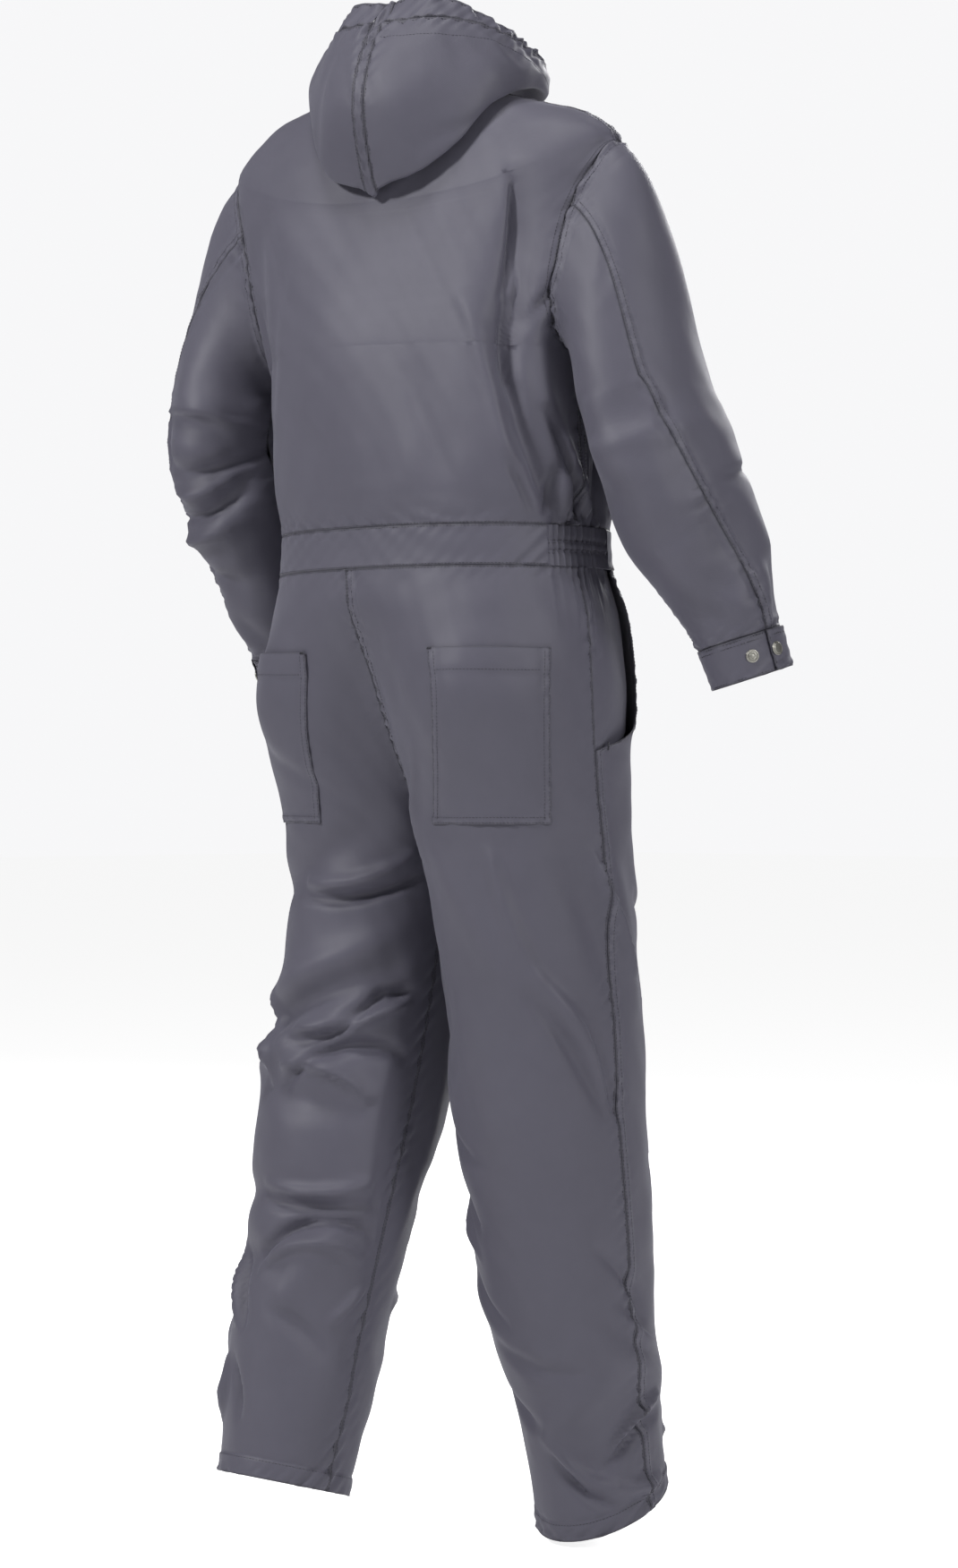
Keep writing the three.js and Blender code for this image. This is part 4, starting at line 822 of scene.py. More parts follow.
class Sewing:
    def __init__(self):
        self.vertices = []

    def row(self, line, pitch=STITCH_PITCH):
        travel = travelled(line[:, :3])
        if travel[-1] < pitch:
            return
        starts = np.arange(0.5, travel[-1] - STITCH_LONG, pitch)
        ends = starts + STITCH_LONG

        def at(places):
            return np.stack([np.interp(places, travel, line[:, n]) for n in range(6)], -1)

        first, last = at(starts), at(ends)
        normal = unit(first[:, 3:] + last[:, 3:])
        along = unit(last[:, :3] - first[:, :3])
        side = np.cross(along, normal) * STITCH_WIDE / 2
        foot = normal * -STITCH_SUNK
        crown = normal * STITCH_HIGH
        low, high = first[:, :3], last[:, :3]
        corners = [low - side + foot, low + side + foot, low + along * 0.5 + crown,
                   high - side + foot, high + side + foot, high - along * 0.5 + crown]
        self.vertices.append(np.stack(corners, 1))

    # A bar tack is a short block of close stitches across a pocket's corner
    def tack(self, middle, normal, along, length):
        across = np.cross(normal, along)
        for step in np.arange(-length / 2, length / 2, TACK_PITCH):
            start = middle + along * step - across * TACK_HALF_SPAN
            ends = [start, start + along * 0.4 + across * 2 * TACK_HALF_SPAN]
            line = np.array([np.concatenate([point, normal]) for point in ends])
            self.row_between(line)

    def row_between(self, line):
        first, last = line[0, :3], line[1, :3]
        normal = line[0, 3:]
        along = (last - first) / np.linalg.norm(last - first)
        side = np.cross(along, normal) * 0.45
        foot, crown = normal * -STITCH_SUNK, normal * TACK_HIGH
        self.vertices.append(np.array([[first - side + foot, first + side + foot, first + crown,
                                        last - side + foot, last + side + foot, last + crown]]))

    def finish(self, name, material):
        blocks = np.concatenate(self.vertices)
        count = len(blocks)
        prism = [[0, 2, 1], [3, 4, 5], [0, 3, 5], [0, 5, 2], [1, 2, 5], [1, 5, 4], [0, 1, 4], [0, 4, 3]]
        faces = (np.arange(count)[:, None, None] * 6 + np.array(prism)[None]).reshape(-1, 3)
        made = make_mesh(name, blocks.reshape(-1, 3), faces, material)
        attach(made, "garment")


# Shared shader groups. They put out only values, colours and normals.
def new_group(name, inputs, outputs):
    group = bpy.data.node_groups.new(name, "ShaderNodeTree")
    for label, kind, value in inputs:
        made = group.interface.new_socket(label, in_out="INPUT", socket_type=kind)
        if value is not None:
            made.default_value = value
    for label, kind in outputs:
        group.interface.new_socket(label, in_out="OUTPUT", socket_type=kind)
    return group, group.nodes.new("NodeGroupInput"), group.nodes.new("NodeGroupOutput")


def math_node(tree, operation, first, second=None):
    made = tree.nodes.new("ShaderNodeMath")
    made.operation = operation
    for socket, value in zip(made.inputs, (first, second)):
        if value is None:
            continue
        if isinstance(value, (int, float)):
            socket.default_value = value
        else:
            tree.links.new(value, socket)
    return made.outputs[0]


def noise_node(tree, vector, scale, detail=3.0, rough=0.55):
    made = tree.nodes.new("ShaderNodeTexNoise")
    made.inputs["Scale"].default_value = scale
    made.inputs["Detail"].default_value = detail
    made.inputs["Roughness"].default_value = rough
    tree.links.new(vector, made.inputs["Vector"])
    return made.outputs["Fac"]


# Twill lines run across the cut at an angle, over a fine grain
def twill_group():
    group, source, result = new_group(
        "twill weave",
        [("Cut", "NodeSocketVector", None), ("Lines", "NodeSocketFloat", 1100.0)],
        [("Height", "NodeSocketFloat"), ("Grain", "NodeSocketFloat")],
    )
    split = group.nodes.new("ShaderNodeSeparateXYZ")
    group.links.new(source.outputs["Cut"], split.inputs[0])
    slant = math_node(group, "ADD", math_node(group, "MULTIPLY", split.outputs[0], 1.9), split.outputs[1])
    turned = math_node(group, "MULTIPLY", slant, source.outputs["Lines"])
    wave = math_node(group, "SINE", math_node(group, "MULTIPLY", turned, 2 * math.pi))
    grain = noise_node(group, source.outputs["Cut"], 900.0, 2.0)
    height = math_node(group, "ADD", math_node(group, "MULTIPLY", wave, 0.25), grain)
    group.links.new(height, result.inputs["Height"])
    group.links.new(grain, result.inputs["Grain"])
    return group


# Slow random changes of tone over the cloth, the rubbed edges of seams, and painted shade: the cloth goes
# towards near-black along seam lines, standing in for the shadow in them
def shade_group():
    group, source, result = new_group(
        "cloth shade",
        [("Place", "NodeSocketVector", None),
         ("Seam", "NodeSocketFloat", 0.0),
         ("Seam shade", "NodeSocketFloat", 0.0),
         ("Deep", "NodeSocketColor", (0.09, 0.088, 0.112, 1)),
         ("Light", "NodeSocketColor", (0.125, 0.122, 0.155, 1)),
         ("Rubbed", "NodeSocketColor", (0.17, 0.166, 0.20, 1))],
        [("Color", "NodeSocketColor"), ("Mask", "NodeSocketFloat")],
    )
    broad = noise_node(group, source.outputs["Place"], 5.0, 3.0)
    close = noise_node(group, source.outputs["Place"], 60.0, 4.0)
    broad = math_node(group, "MULTIPLY", broad, 0.7)
    both = math_node(group, "ADD", broad, math_node(group, "MULTIPLY", close, 0.3))
    plain = mix_node(group, both, source.outputs["Deep"], source.outputs["Light"])
    rub = noise_node(group, source.outputs["Place"], 160.0, 3.0)
    rubbed = math_node(group, "MULTIPLY", math_node(group, "GREATER_THAN", rub, 0.5), rub)
    mask = math_node(group, "MULTIPLY", math_node(group, "MULTIPLY", source.outputs["Seam"], rubbed), 0.55)
    worn = mix_node(group, mask, plain, source.outputs["Rubbed"])
    # Painted seam shade: up to 0.6 of the way to near-black along seam lines
    depth = math_node(group, "MULTIPLY", source.outputs["Seam shade"], 0.6)
    group.links.new(mix_node(group, depth, worn, SEAM_SHADE_COLOUR), result.inputs["Color"])
    group.links.new(both, result.inputs["Mask"])
    return group


# Near-black of the painted shade in seam lines
SEAM_SHADE_COLOUR = (0.012, 0.012, 0.015, 1)


# Colour that goes from the first to the second with the factor
def mix_node(tree, factor, first, second):
    made = tree.nodes.new("ShaderNodeMix")
    made.data_type = "RGBA"
    tree.links.new(factor, made.inputs["Factor"])
    ends = [socket for socket in made.inputs if socket.type == "RGBA"]
    for socket, value in zip(ends, (first, second)):
        if isinstance(value, tuple):
            socket.default_value = value
        else:
            tree.links.new(value, socket)
    return next(socket for socket in made.outputs if socket.type == "RGBA")


TWILL = twill_group()
SHADE = shade_group()


def placed(tree, group, **values):
    made = tree.nodes.new("ShaderNodeGroup")
    made.node_tree = group
    for label, value in values.items():
        made.inputs[label].default_value = value
    return made


def shader_of(material):
    return material.node_tree.nodes["Principled BSDF"]


def cloth_material(name, deep, light, rubbed, rough, lines, bump):
    material = bpy.data.materials.new(name)
    material.use_nodes = True
    tree = material.node_tree
    shader = shader_of(material)
    shader.inputs["Specular IOR Level"].default_value = 0.35
    shader.inputs["Sheen Weight"].default_value = 0.22
    shader.inputs["Sheen Roughness"].default_value = 0.45
    shader.inputs["Sheen Tint"].default_value = (0.72, 0.72, 0.82, 1)
    place = tree.nodes.new("ShaderNodeTexCoord")
    cut = tree.nodes.new("ShaderNodeUVMap")
    cut.uv_map = "cut"
    seam = tree.nodes.new("ShaderNodeAttribute")
    seam.attribute_name = "seam"
    # The gap attribute brings in the painted seam shade
    gap = tree.nodes.new("ShaderNodeAttribute")
    gap.attribute_name = "gap"
    weave = placed(tree, TWILL, Lines=lines)
    shade = placed(tree, SHADE, Deep=(*deep, 1), Light=(*light, 1), Rubbed=(*rubbed, 1))
    tree.links.new(cut.outputs["UV"], weave.inputs["Cut"])
    tree.links.new(place.outputs["Object"], shade.inputs["Place"])
    tree.links.new(seam.outputs["Fac"], shade.inputs["Seam"])
    tree.links.new(gap.outputs["Fac"], shade.inputs["Seam shade"])
    tree.links.new(shade.outputs["Color"], shader.inputs["Base Color"])
    spread = math_node(tree, "MULTIPLY", weave.outputs["Grain"], 0.12)
    tree.links.new(math_node(tree, "ADD", spread, rough), shader.inputs["Roughness"])
    raised = tree.nodes.new("ShaderNodeBump")
    raised.inputs["Strength"].default_value = bump
    raised.inputs["Distance"].default_value = 0.0003
    tree.links.new(weave.outputs["Height"], raised.inputs["Height"])
    tree.links.new(raised.outputs["Normal"], shader.inputs["Normal"])
    return material


def metal_material(name, colour, rough):
    material = bpy.data.materials.new(name)
    material.use_nodes = True
    tree = material.node_tree
    shader = shader_of(material)
    shader.inputs["Metallic"].default_value = 1.0
    place = tree.nodes.new("ShaderNodeTexCoord")
    spots = noise_node(tree, place.outputs["Object"], 420.0, 3.0)
    dull = (*[0.72 * c for c in colour], 1)
    tree.links.new(mix_node(tree, spots, dull, (*colour, 1)), shader.inputs["Base Color"])
    spread = math_node(tree, "MULTIPLY", spots, 0.2)
    tree.links.new(math_node(tree, "ADD", spread, rough), shader.inputs["Roughness"])
    return material


CLOTH = cloth_material("slate twill", (0.078, 0.075, 0.101), (0.110, 0.106, 0.139), (0.150, 0.146, 0.180),
                       0.47, 700.0, 0.25)
# Thread is darker than the cloth: partly its own colour, partly painted shade of the needle holes it sinks
# into
THREAD = cloth_material("slate thread", (0.032, 0.031, 0.040), (0.050, 0.048, 0.060), (0.05, 0.048, 0.06),
                        0.6, 2500.0, 0.1)
TAPE = cloth_material("zip tape", (0.05, 0.049, 0.062), (0.07, 0.068, 0.085), (0.09, 0.088, 0.105),
                      0.75, 1400.0, 0.3)
SNAP_METAL = metal_material("aged nickel", (0.46, 0.45, 0.41), 0.3)
ZIP_METAL = metal_material("zip metal", (0.40, 0.385, 0.36), 0.28)

upper_sewing = Sewing()
lower_sewing = Sewing()
SIDES = ((1, "left"), (-1, "right"))
TWIN = (1.9, 7.6)
STRIP = 9.5

# Widths of the cloth, which set how many columns of points a piece has
BACK_WIDE = 480
FRONT_WIDE = 250
SLEEVE_WIDE = {"top": 240, "under": 170}
HOOD_WIDE = 330
TROUSER_BACK_WIDE = 320
TROUSER_FRONT_WIDE = 310
POCKET_WIDE = 150
SHOULDER_ROW_START = 201.1
# Points on the axis of the bodice and of the hood, which tell a panel its inner side
BODICE_AXIS = carried(0.0, 0.0, 1300.0) * [1, 1, 0]
HOOD_AXIS = carried(0.0, 0.0, float(HELD_HEIGHT)) * [1, 1, 0]


def twin_rows(sewing, panel, edge, distances=TWIN, start=0.0, end=0.0):
    for distance in distances:
        sewing.row(panel.line(edge, distance, start, end))


# Levels of the bodice, closest together where the armhole curves
armhole_turns = np.linspace(180, 0, 50)
LEVELS = np.concatenate([spaced(0, 1, 185, end=False)[:-1], armhole_level(armhole_turns),
                         spaced(2, 3, 135, start=False)[1:]])


def bodice_back():
    part = spaced(-1, 1, BACK_WIDE)[None, :]
    level = LEVELS[:, None]
    panel = Panel(bodice(part * (90 - armhole_gap(level)), level), BODICE_AXIS)
    panel.sew("top", 0, tight=0.8)
    panel.sew("bottom", 0, tight=0.5)
    panel.sew("first", 0)
    panel.sew("last", 0)
    cloth_piece("back_body", panel, CLOTH)
    for edge in ("first", "last"):
        upper_sewing.row(panel.line(edge, 1.9))
        upper_sewing.row(panel.line(edge, 7.2, SHOULDER_ROW_START, 0))
    upper_sewing.row(panel.line("bottom", 1.8))
    upper_sewing.row(panel.line("top", 1.8, 12, 12))


def bodice_front(side, word):
    level = LEVELS[:, None]
    part = spaced(0, 1, FRONT_WIDE)[None, :]
    start = 90 + armhole_gap(level)
    end = zip_edge(BODICE_RINGS, level)
    panel = Panel(bodice(side * lerp(start, end, part), level), BODICE_AXIS)
    panel.sew("first", STRIP)
    panel.sew("last", 0, tight=0.9)
    panel.sew("bottom", 0, tight=0.5)
    panel.sew("top", 0, tight=0.6)
    cloth_piece(f"front_body_{word}", panel, CLOTH)
    twin_rows(upper_sewing, panel, "first")
    twin_rows(upper_sewing, panel, "last", (2.2, 8.4))
    upper_sewing.row(panel.line("bottom", 1.8))


CAP_WAYS = spaced(0, 1, 105, end=False)
ARM_WAYS = 1 + spaced(0, 1, 262, start=False)[1:]
SLEEVE_WAYS = np.concatenate([CAP_WAYS, ARM_WAYS])
BACK_SEAM_TURN = 67.5
UNDER_SEAM_TURN = 202.5


def sleeves(side, word):
    for name, first, last in (("top", UNDER_SEAM_TURN - 360, BACK_SEAM_TURN),
                              ("under", BACK_SEAM_TURN, UNDER_SEAM_TURN)):
        turn = spaced(first, last, SLEEVE_WIDE[name])[None, :]
        points = sleeve(side, turn, SLEEVE_WAYS[:, None])
        centres = arm_frame(word, np.clip(SLEEVE_WAYS - 1, 0, 1))[4][:, None, :]
        panel = Panel(points, np.broadcast_to(centres, points.shape) * [1, 1, 0])
        panel.sew("top", STRIP, tight=1.2)
        panel.sew("bottom", 0, tight=1.3)
        panel.sew("first" if name == "top" else "last", 0)
        panel.sew("last" if name == "top" else "first", STRIP if name == "top" else 0, tight=0.9)
        cloth_piece(f"sleeve_{name}_{word}", panel, CLOTH)
        twin_rows(upper_sewing, panel, "top")
        if name == "top":
            twin_rows(upper_sewing, panel, "last")
        else:
            upper_sewing.row(panel.line("last", 2.0))


CUFF_DEPTH = 43
CUFF_STEP = 18
CUFF_LAP = 36
CUFF_LAP_LIFT = 3.4
CUFF_EDGE_TURN = 72


def cuff_points(word, back, down):
    arm, along, outward, rear, centre = arm_frame(word, 1.0)
    steps = (360 + CUFF_LAP - back) / CUFF_STEP
    angle = np.radians(CUFF_EDGE_TURN - arm["roll"] - back)
    lift = 1.2 + CUFF_LAP_LIFT * smooth((steps - 18) / 2)
    flare = 1 - 0.06 * down
    return (
        centre
        + outward * ((arm["wide"] + lift) * flare * np.cos(angle))[..., None]
        + rear * ((arm["deep"] + lift) * flare * np.sin(angle))[..., None]
        + along * (0.5 + CUFF_DEPTH * down)[..., None]
    )


def cuff(word):
    back, down = np.meshgrid(spaced(360 + CUFF_LAP, 0, 310, 3.5), spaced(0, 1, CUFF_DEPTH, 3.5))
    points = cuff_points(word, back, down)
    centre = arm_frame(word, 1.0)[4]
    panel = Panel(points, centre, 0.25)
    for edge in ("top", "bottom", "last"):
        panel.sew(edge, 0, tight=0.45)
        upper_sewing.row(panel.line(edge, 2.2, 3, 3))
    upper_sewing.row(panel.line("top", 6.5, 3, 3))
    cloth_piece(f"cuff_{word}", panel, CLOTH)


HOOD_WAYS = np.concatenate([np.linspace(0, 2.2, 16)[:-1], np.linspace(2.2, 4.1, 26)[:-1],
                            spaced(4.1, RIM_START, 95, start=False)])
FRONT_NECK_END = float(zip_edge(BODICE_RINGS, 3.0))
FRONT_BAND_END = float(zip_edge(PELVIS_RINGS, float(WAIST_TOP)))


def hood_sides(side, word):
    degrees = side * spaced(STRIP_PART * 90, FRONT_NECK_END, HOOD_WIDE, 4.6)[None, :]
    points = hood(degrees, HOOD_WAYS[:, None])
    panel = Panel(points, HOOD_AXIS, 0.8)
    panel.sew("top", 0)
    panel.sew("bottom", 0, tight=1.2)
    panel.sew("first", 0, tight=0.9)
    cloth_piece(f"hood_{word}", panel, CLOTH)
    upper_sewing.row(panel.line("bottom", 2.4))
    upper_sewing.row(panel.line("first", 1.8))
    if side < 0:
        upper_sewing.row(panel.line("bottom", 22))


def hood_strip():
    degrees = np.linspace(-STRIP_PART * 90, STRIP_PART * 90, 7)[None, :]
    ways = np.concatenate([HOOD_WAYS, np.linspace(RIM_START, 6, 8)[1:]])[:, None]
    panel = Panel(hood(degrees, ways), HOOD_AXIS, 0.4)
    panel.sew("first", 0, tight=0.9)
    panel.sew("last", 0, tight=0.9)
    raised = np.minimum(panel.distance("first"), panel.distance("last"))
    panel.drawn += 1.3 * smooth(raised / 1.6)
    cloth_piece("hood_centre_strip", panel, CLOTH)
    for edge in ("first", "last"):
        upper_sewing.row(panel.line(edge, 2.2))


# The casing round the hood's opening is drawn into uneven gathers
def rim(side, word):
    degrees = spaced(STRIP_PART * 90, FRONT_NECK_END, HOOD_WIDE, 3.2)[None, :]
    ways = np.linspace(RIM_START, 6, 9)[:, None]
    place = np.radians(degrees) * 17 + 0.8 * np.sin(np.radians(degrees) * 5)
    wave = np.sin(place) + 0.4 * np.sin(2.1 * place + 1)
    grow = smooth((ways - RIM_START) / 0.6) * smooth((degrees - 5) / 6)
    panel = Panel(hood(side * degrees, ways, 2.0 * wave * grow), HOOD_AXIS, 0.2)
    panel.sew("top", 0, tight=1.2)
    panel.sew("bottom", 0, tight=0.8)
    cloth_piece(f"hood_rim_{word}", panel, CLOTH)
    upper_sewing.row(panel.line("top", 2.2))
    upper_sewing.row(panel.line("bottom", 3.0))


# Waistband: the elastic's rows of sewing pinch its gathers
def band(name, start, end, elastic=False):
    step = 2.2 if elastic else 4.0
    degrees = spaced(start, end, abs(end - start) * 2.9, step)[None, :]
    heights = spaced(WAIST_TOP, WAIST_BOTTOM, WAIST_TOP - WAIST_BOTTOM, 2.6)[:, None]
    out = np.zeros(np.broadcast(degrees, heights).shape)
    if elastic:
        pinch = sum(hump(heights, row, 2.4) for row in (1075, 1064))
        out = gathers(degrees) * (1 - 0.55 * pinch) - 1.1 * pinch
        out = out * smooth((WAIST_TOP + 2 - heights) / 3 + 0.4)
    panel = Panel(waist(degrees, heights, out), np.array([-2, -2, 0]), 0 if elastic else 0.5)
    if not elastic:
        panel.sew("top", 0, tight=0.5)
        panel.sew("bottom", 0, tight=0.5)
        edge_lift = np.minimum(panel.distance("top"), panel.distance("bottom"))
        panel.drawn += 0.7 * smooth(edge_lift / 1.5)
    cloth_piece(name, panel, CLOTH)
    if elastic:
        for distance in (16, 19.5, 26.5, 30):
            upper_sewing.row(panel.line("top", distance), 3.2)
    else:
        upper_sewing.row(panel.line("top", 2.0))
        upper_sewing.row(panel.line("bottom", 2.0))


def leg_rows(side, step=GRID):
    hem = HEMS[side_word(side)]
    hem_rows = hem + HEM_DEPTH + np.array([4.5, 3, 1.5, 0, -1.5])
    rows = np.concatenate([
        spaced(WAIST_BOTTOM, CROTCH_HEIGHT, WAIST_BOTTOM - CROTCH_HEIGHT, step, end=False)[:-1],
        spaced(CROTCH_HEIGHT, hem, CROTCH_HEIGHT - hem, step, start=False), hem_rows,
    ])
    return np.sort(rows)[::-1]


def leg_inside(side, rows):
    leg = read(LEGS[side_word(side)], rows)
    part = leg_blend(rows)
    return np.stack([leg["x"] * part, leg["y"] * part, 0 * rows], -1)


# A turned hem stands up as far as its sewing, beyond which the cloth dips
def turned_hem(away, depth, rise, dip):
    return rise * smooth((depth - away) / 1.5) - dip * hump(away, depth + 1.5, 2.5)


def finish_leg(panel, side, word, kind):
    panel.sew("bottom", 0, tight=0.8)
    away = panel.distance("bottom")
    panel.drawn += turned_hem(away, HEM_DEPTH, 0.9, 0.6)
    panel.sew("top", 0, tight=0.4)
    name = f"trouser_{kind}_{word}"
    cloth_piece(name, panel, CLOTH)
    lower_sewing.row(panel.line("bottom", HEM_DEPTH - 1.5))
    lower_sewing.row(panel.line("top", 1.8))


def trouser_back(side, word):
    rows = leg_rows(side)[:, None]
    places = spaced(0, 0.5, TROUSER_BACK_WIDE)[None, :]
    panel = Panel(trouser(side, places, rows), leg_inside(side, rows), 1.0)
    panel.sew("first", STRIP if side < 0 else 0, tight=1.0)
    panel.sew("last", 0, tight=0.8)
    finish_leg(panel, side, word, "back")
    if side < 0:
        twin_rows(lower_sewing, panel, "first", end=705)
        lower_sewing.row(panel.line("first", 1.9, 330, 0))
    else:
        lower_sewing.row(panel.line("first", 1.9, 0, 0))
    twin_rows(lower_sewing, panel, "last", (1.9,))


def trouser_front(side, word):
    rows = leg_rows(side)
    opening = smooth((WAIST_BOTTOM - rows) / 50) * smooth(opening_cut(rows) / 0.12)
    start = 0.5 + opening_cut(rows)
    step = smooth((FLY_END - 1 - rows) / 6 + 1)
    end = lerp(1, zip_edge(PELVIS_RINGS, rows) / 180, step * (rows > FLY_END - 7))
    part = spaced(0, 1, TROUSER_FRONT_WIDE)[None, :]
    place = lerp(start[:, None], end[:, None], part)
    lip = GAPE * opening[:, None] * np.maximum(0, 1 - (place - start[:, None]) / 0.14) ** 2
    points = pushed_out(trouser(side, place, rows[:, None]), lip)
    panel = Panel(points, leg_inside(side, rows[:, None]), 1.0)
    panel.sew("first", STRIP, tight=0.45)
    panel.sew("last", 0, tight=0.8)
    finish_leg(panel, side, word, "front")
    twin_rows(lower_sewing, panel, "first")
    lower_sewing.row(panel.line("last", 2.0))
    edge = panel.line("first", 4.0)
    for fraction in (0.012, 0.2):
        spot = edge[int(fraction * len(edge))]
        lower_sewing.tack(spot[:3], spot[3:], np.array([0, 0, 1.0]), 8)


def facing(side, word):
    foot = OPENING_END - 8
    rows = spaced(WAIST_BOTTOM, foot, WAIST_BOTTOM - foot)[:, None]
    part = spaced(0, 1, POCKET_WIDE)[None, :]
    place = 0.5 + (opening_cut(rows) + 0.04) * part
    dip = lerp(3 * smooth((OPENING_END + 7 - rows) / 6), 6.5, smooth(part * 5 / 3))
    panel = Panel(pushed_out(trouser(side, place, rows), -dip), leg_inside(side, rows), 0.6)
    panel.sew("first", 0, tight=0.8)
    cloth_piece(f"side_pocket_facing_{word}", panel, CLOTH)


POCKET_LIFT = 1.6
POCKET_HEM = 26
POCKET_DEPTH = POCKET_TOP - POCKET_BOTTOM
POCKET_LEAN = {"left": -0.107, "right": -0.034}
POCKET_BOW = {"left": 0.03, "right": 0.0}


# Inner edge of a back pocket, as a place round the leg, from its bottom (0) to its top (1)
def pocket_inner(word, part):
    return lerp(0.014, POCKET_LEAN[word], part) - POCKET_BOW[word] * np.sin(np.pi * part**1.6)


# Back patch pocket: both are cut to one width, and the left one sits further round
def back_pocket(side, word):
    rows = spaced(POCKET_TOP, POCKET_BOTTOM, POCKET_DEPTH, 4)[:, None]
    across = spaced(0, 1, POCKET_WIDE, 4)[None, :]
    part = np.clip((rows - POCKET_BOTTOM) / POCKET_DEPTH, 0, 1)
    inner = POCKET_PLACES[0] + pocket_inner(word, part)
    width = POCKET_PLACES[1] - POCKET_PLACES[0] - pocket_inner("right", part)
    places = inner + width * across
    base = Panel(trouser(side, places, rows), leg_inside(side, rows), 1.0)
    top = smooth((rows - 925) / 37)
    gape = (2.6 if side > 0 else 1.6) * top * np.sin(np.pi * across) ** 2
    sag = 0.7 * np.sin(np.pi * across) ** 2 * np.sin(np.pi * (POCKET_TOP - rows) / POCKET_DEPTH)
    base.points = base.points + base.normals * (POCKET_LIFT + gape + sag)[..., None]
    base.measure()
    # Painted shade along all four edges of the pocket, where it stands off the leg
    for edge in ("first", "last", "bottom", "top"):
        away = base.distance(edge)
        base.gap = np.maximum(base.gap, 0.7 * hump(away, 0, 1.2))
    for edge in ("first", "last", "bottom"):
        away = base.distance(edge)
        base.drawn += pucker(base.points) * 0.55 * np.exp(-away / 8)
        base.drawn += 0.5 * hump(away, 4.5, 2.2) - 0.35 * hump(away, 11, 3)
        base.seam = np.maximum(base.seam, hump(away, 0, 5))
    away = base.distance("top")
    base.drawn += turned_hem(away, POCKET_HEM, 0.5, 0.35)
    cloth_piece(f"back_pocket_{word}", base, CLOTH)
    for edge in ("first", "last", "bottom"):
        twin_rows(lower_sewing, base, edge, (1.8, 7.4), 2, 2)
    lower_sewing.row(base.line("top", POCKET_HEM - 2, 8, 8))
    for column in (3, -4):
        spot = base.points[1, column]
        along = unit(base.points[1, 4] - base.points[1, 2])
        lower_sewing.tack(spot, base.normals[1, column], along, 5)


# Zip: two tapes beside the teeth, from the neckline over the waistband to the fly's end
def zip_rows(side, part):
    levels = LEVELS[::-1]
    edge = bodice(side * zip_edge(BODICE_RINGS, levels), levels)
    middle = bodice(180.0, levels)
    upper = lerp(edge, middle, part)
    heights = spaced(WAIST_TOP, FLY_END, WAIST_TOP - FLY_END)[1:]
    place = zip_edge(PELVIS_RINGS, heights) / 180
    lower = lerp(trouser(side, place, heights), trouser(side, 1.0, heights), part)
    return np.concatenate([upper, lower])


def zip_tape(side, word):
    parts = (0.0, 0.25, 0.5, 0.78, 0.97)
    panel = Panel(np.stack([zip_rows(side, part) for part in parts], 1), BODICE_AXIS, 0)
    away = panel.distance("last")
    panel.drawn += 0.5 * hump(away, 0, 2.5)
    cloth_piece(f"zip_tape_{word}", panel, TAPE, thick=0.8)


TOOTH_PITCH = 2.9


def join_copies(name, shape, frames, material):
    count = len(shape.vertices)
    points = np.empty(count * 3)
    shape.vertices.foreach_get("co", points)
    points = points.reshape(-1, 3) * 1000
    faces = [list(face.vertices) for face in shape.polygons]
    vertices, polygons = [], []
    for n, (centre, across, out, up) in enumerate(frames):
        vertices.append(centre + points @ np.stack([across, out, up]))
        polygons.extend([[index + n * count for index in face] for face in faces])
    mesh = bpy.data.meshes.new(name)
    mesh.from_pydata((np.concatenate(vertices) / 1000).tolist(), [], polygons)
    mesh.update()
    mesh.materials.append(material)
    made = bpy.data.objects.new(name, mesh)
    bpy.context.collection.objects.link(made)
    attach(made, "garment")


# A tooth is a small block whose head is drawn in and rounded
def tooth_shape():
    bpy.ops.mesh.primitive_cube_add(size=1)
    made = bpy.context.object
    made.scale = (0.0034, 0.0018, 0.0015)
    bpy.ops.object.transform_apply(location=False, rotation=False, scale=True)
    bevel = made.modifiers.new("round", "BEVEL")
    bevel.width = 0.00035
    bevel.segments = 1
    bpy.ops.object.modifier_apply(modifier="round")
    shape = made.data.copy()
    bpy.data.objects.remove(made, do_unlink=True)
    return shape


def zip_teeth():
    line = zip_rows(1, 1.0)
    travel = travelled(line)

    def at(place):
        return np.array([np.interp(place, travel, line[:, k]) for k in range(3)])

    frames = []
    for n, place in enumerate(np.arange(5, travel[-1] - 4, TOOTH_PITCH / 2)):
        up = unit(at(place - 3) - at(place + 3))
        out = np.array([0.05, -1, 0.0])
        out = unit(out - up * np.dot(out, up))
        across = np.cross(up, out)
        side = 1 if n % 2 else -1
        frames.append((at(place) + across * side * 1.25 + out * 0.2, across, out, up))
    join_copies("zip_teeth", tooth_shape(), frames, ZIP_METAL)


# Hard pieces are shaped at the origin, in metres, then laid at their place by a frame
def rounded(made, width, segments=2):
    bevel = made.modifiers.new("round", "BEVEL")
    bevel.width = width
    bevel.segments = segments
    bevel.limit_method = "ANGLE"
    bpy.ops.object.modifier_apply(modifier="round")
    return made


def block(size, place, bevel=0.0004):
    bpy.ops.mesh.primitive_cube_add(size=1, location=[v / 1000 for v in place])
    made = bpy.context.object
    made.scale = [v / 1000 for v in size]
    bpy.ops.object.transform_apply(location=True, rotation=False, scale=True)
    return rounded(made, bevel)


def disc(radius, height, low, bevel, sides=40):
    bpy.ops.mesh.primitive_cylinder_add(
        vertices=sides, radius=radius / 1000, depth=height / 1000, location=(0, 0, (low + height / 2) / 1000))
    bpy.ops.object.transform_apply(location=True, rotation=False, scale=False)
    return rounded(bpy.context.object, bevel / 1000, 3)


def ring(radius, thick, height):
    bpy.ops.mesh.primitive_torus_add(
        major_radius=radius / 1000, minor_radius=thick / 1000, major_segments=40, minor_segments=10,
        location=(0, 0, height / 1000))
    bpy.ops.object.transform_apply(location=True, rotation=False, scale=False)
    return bpy.context.object


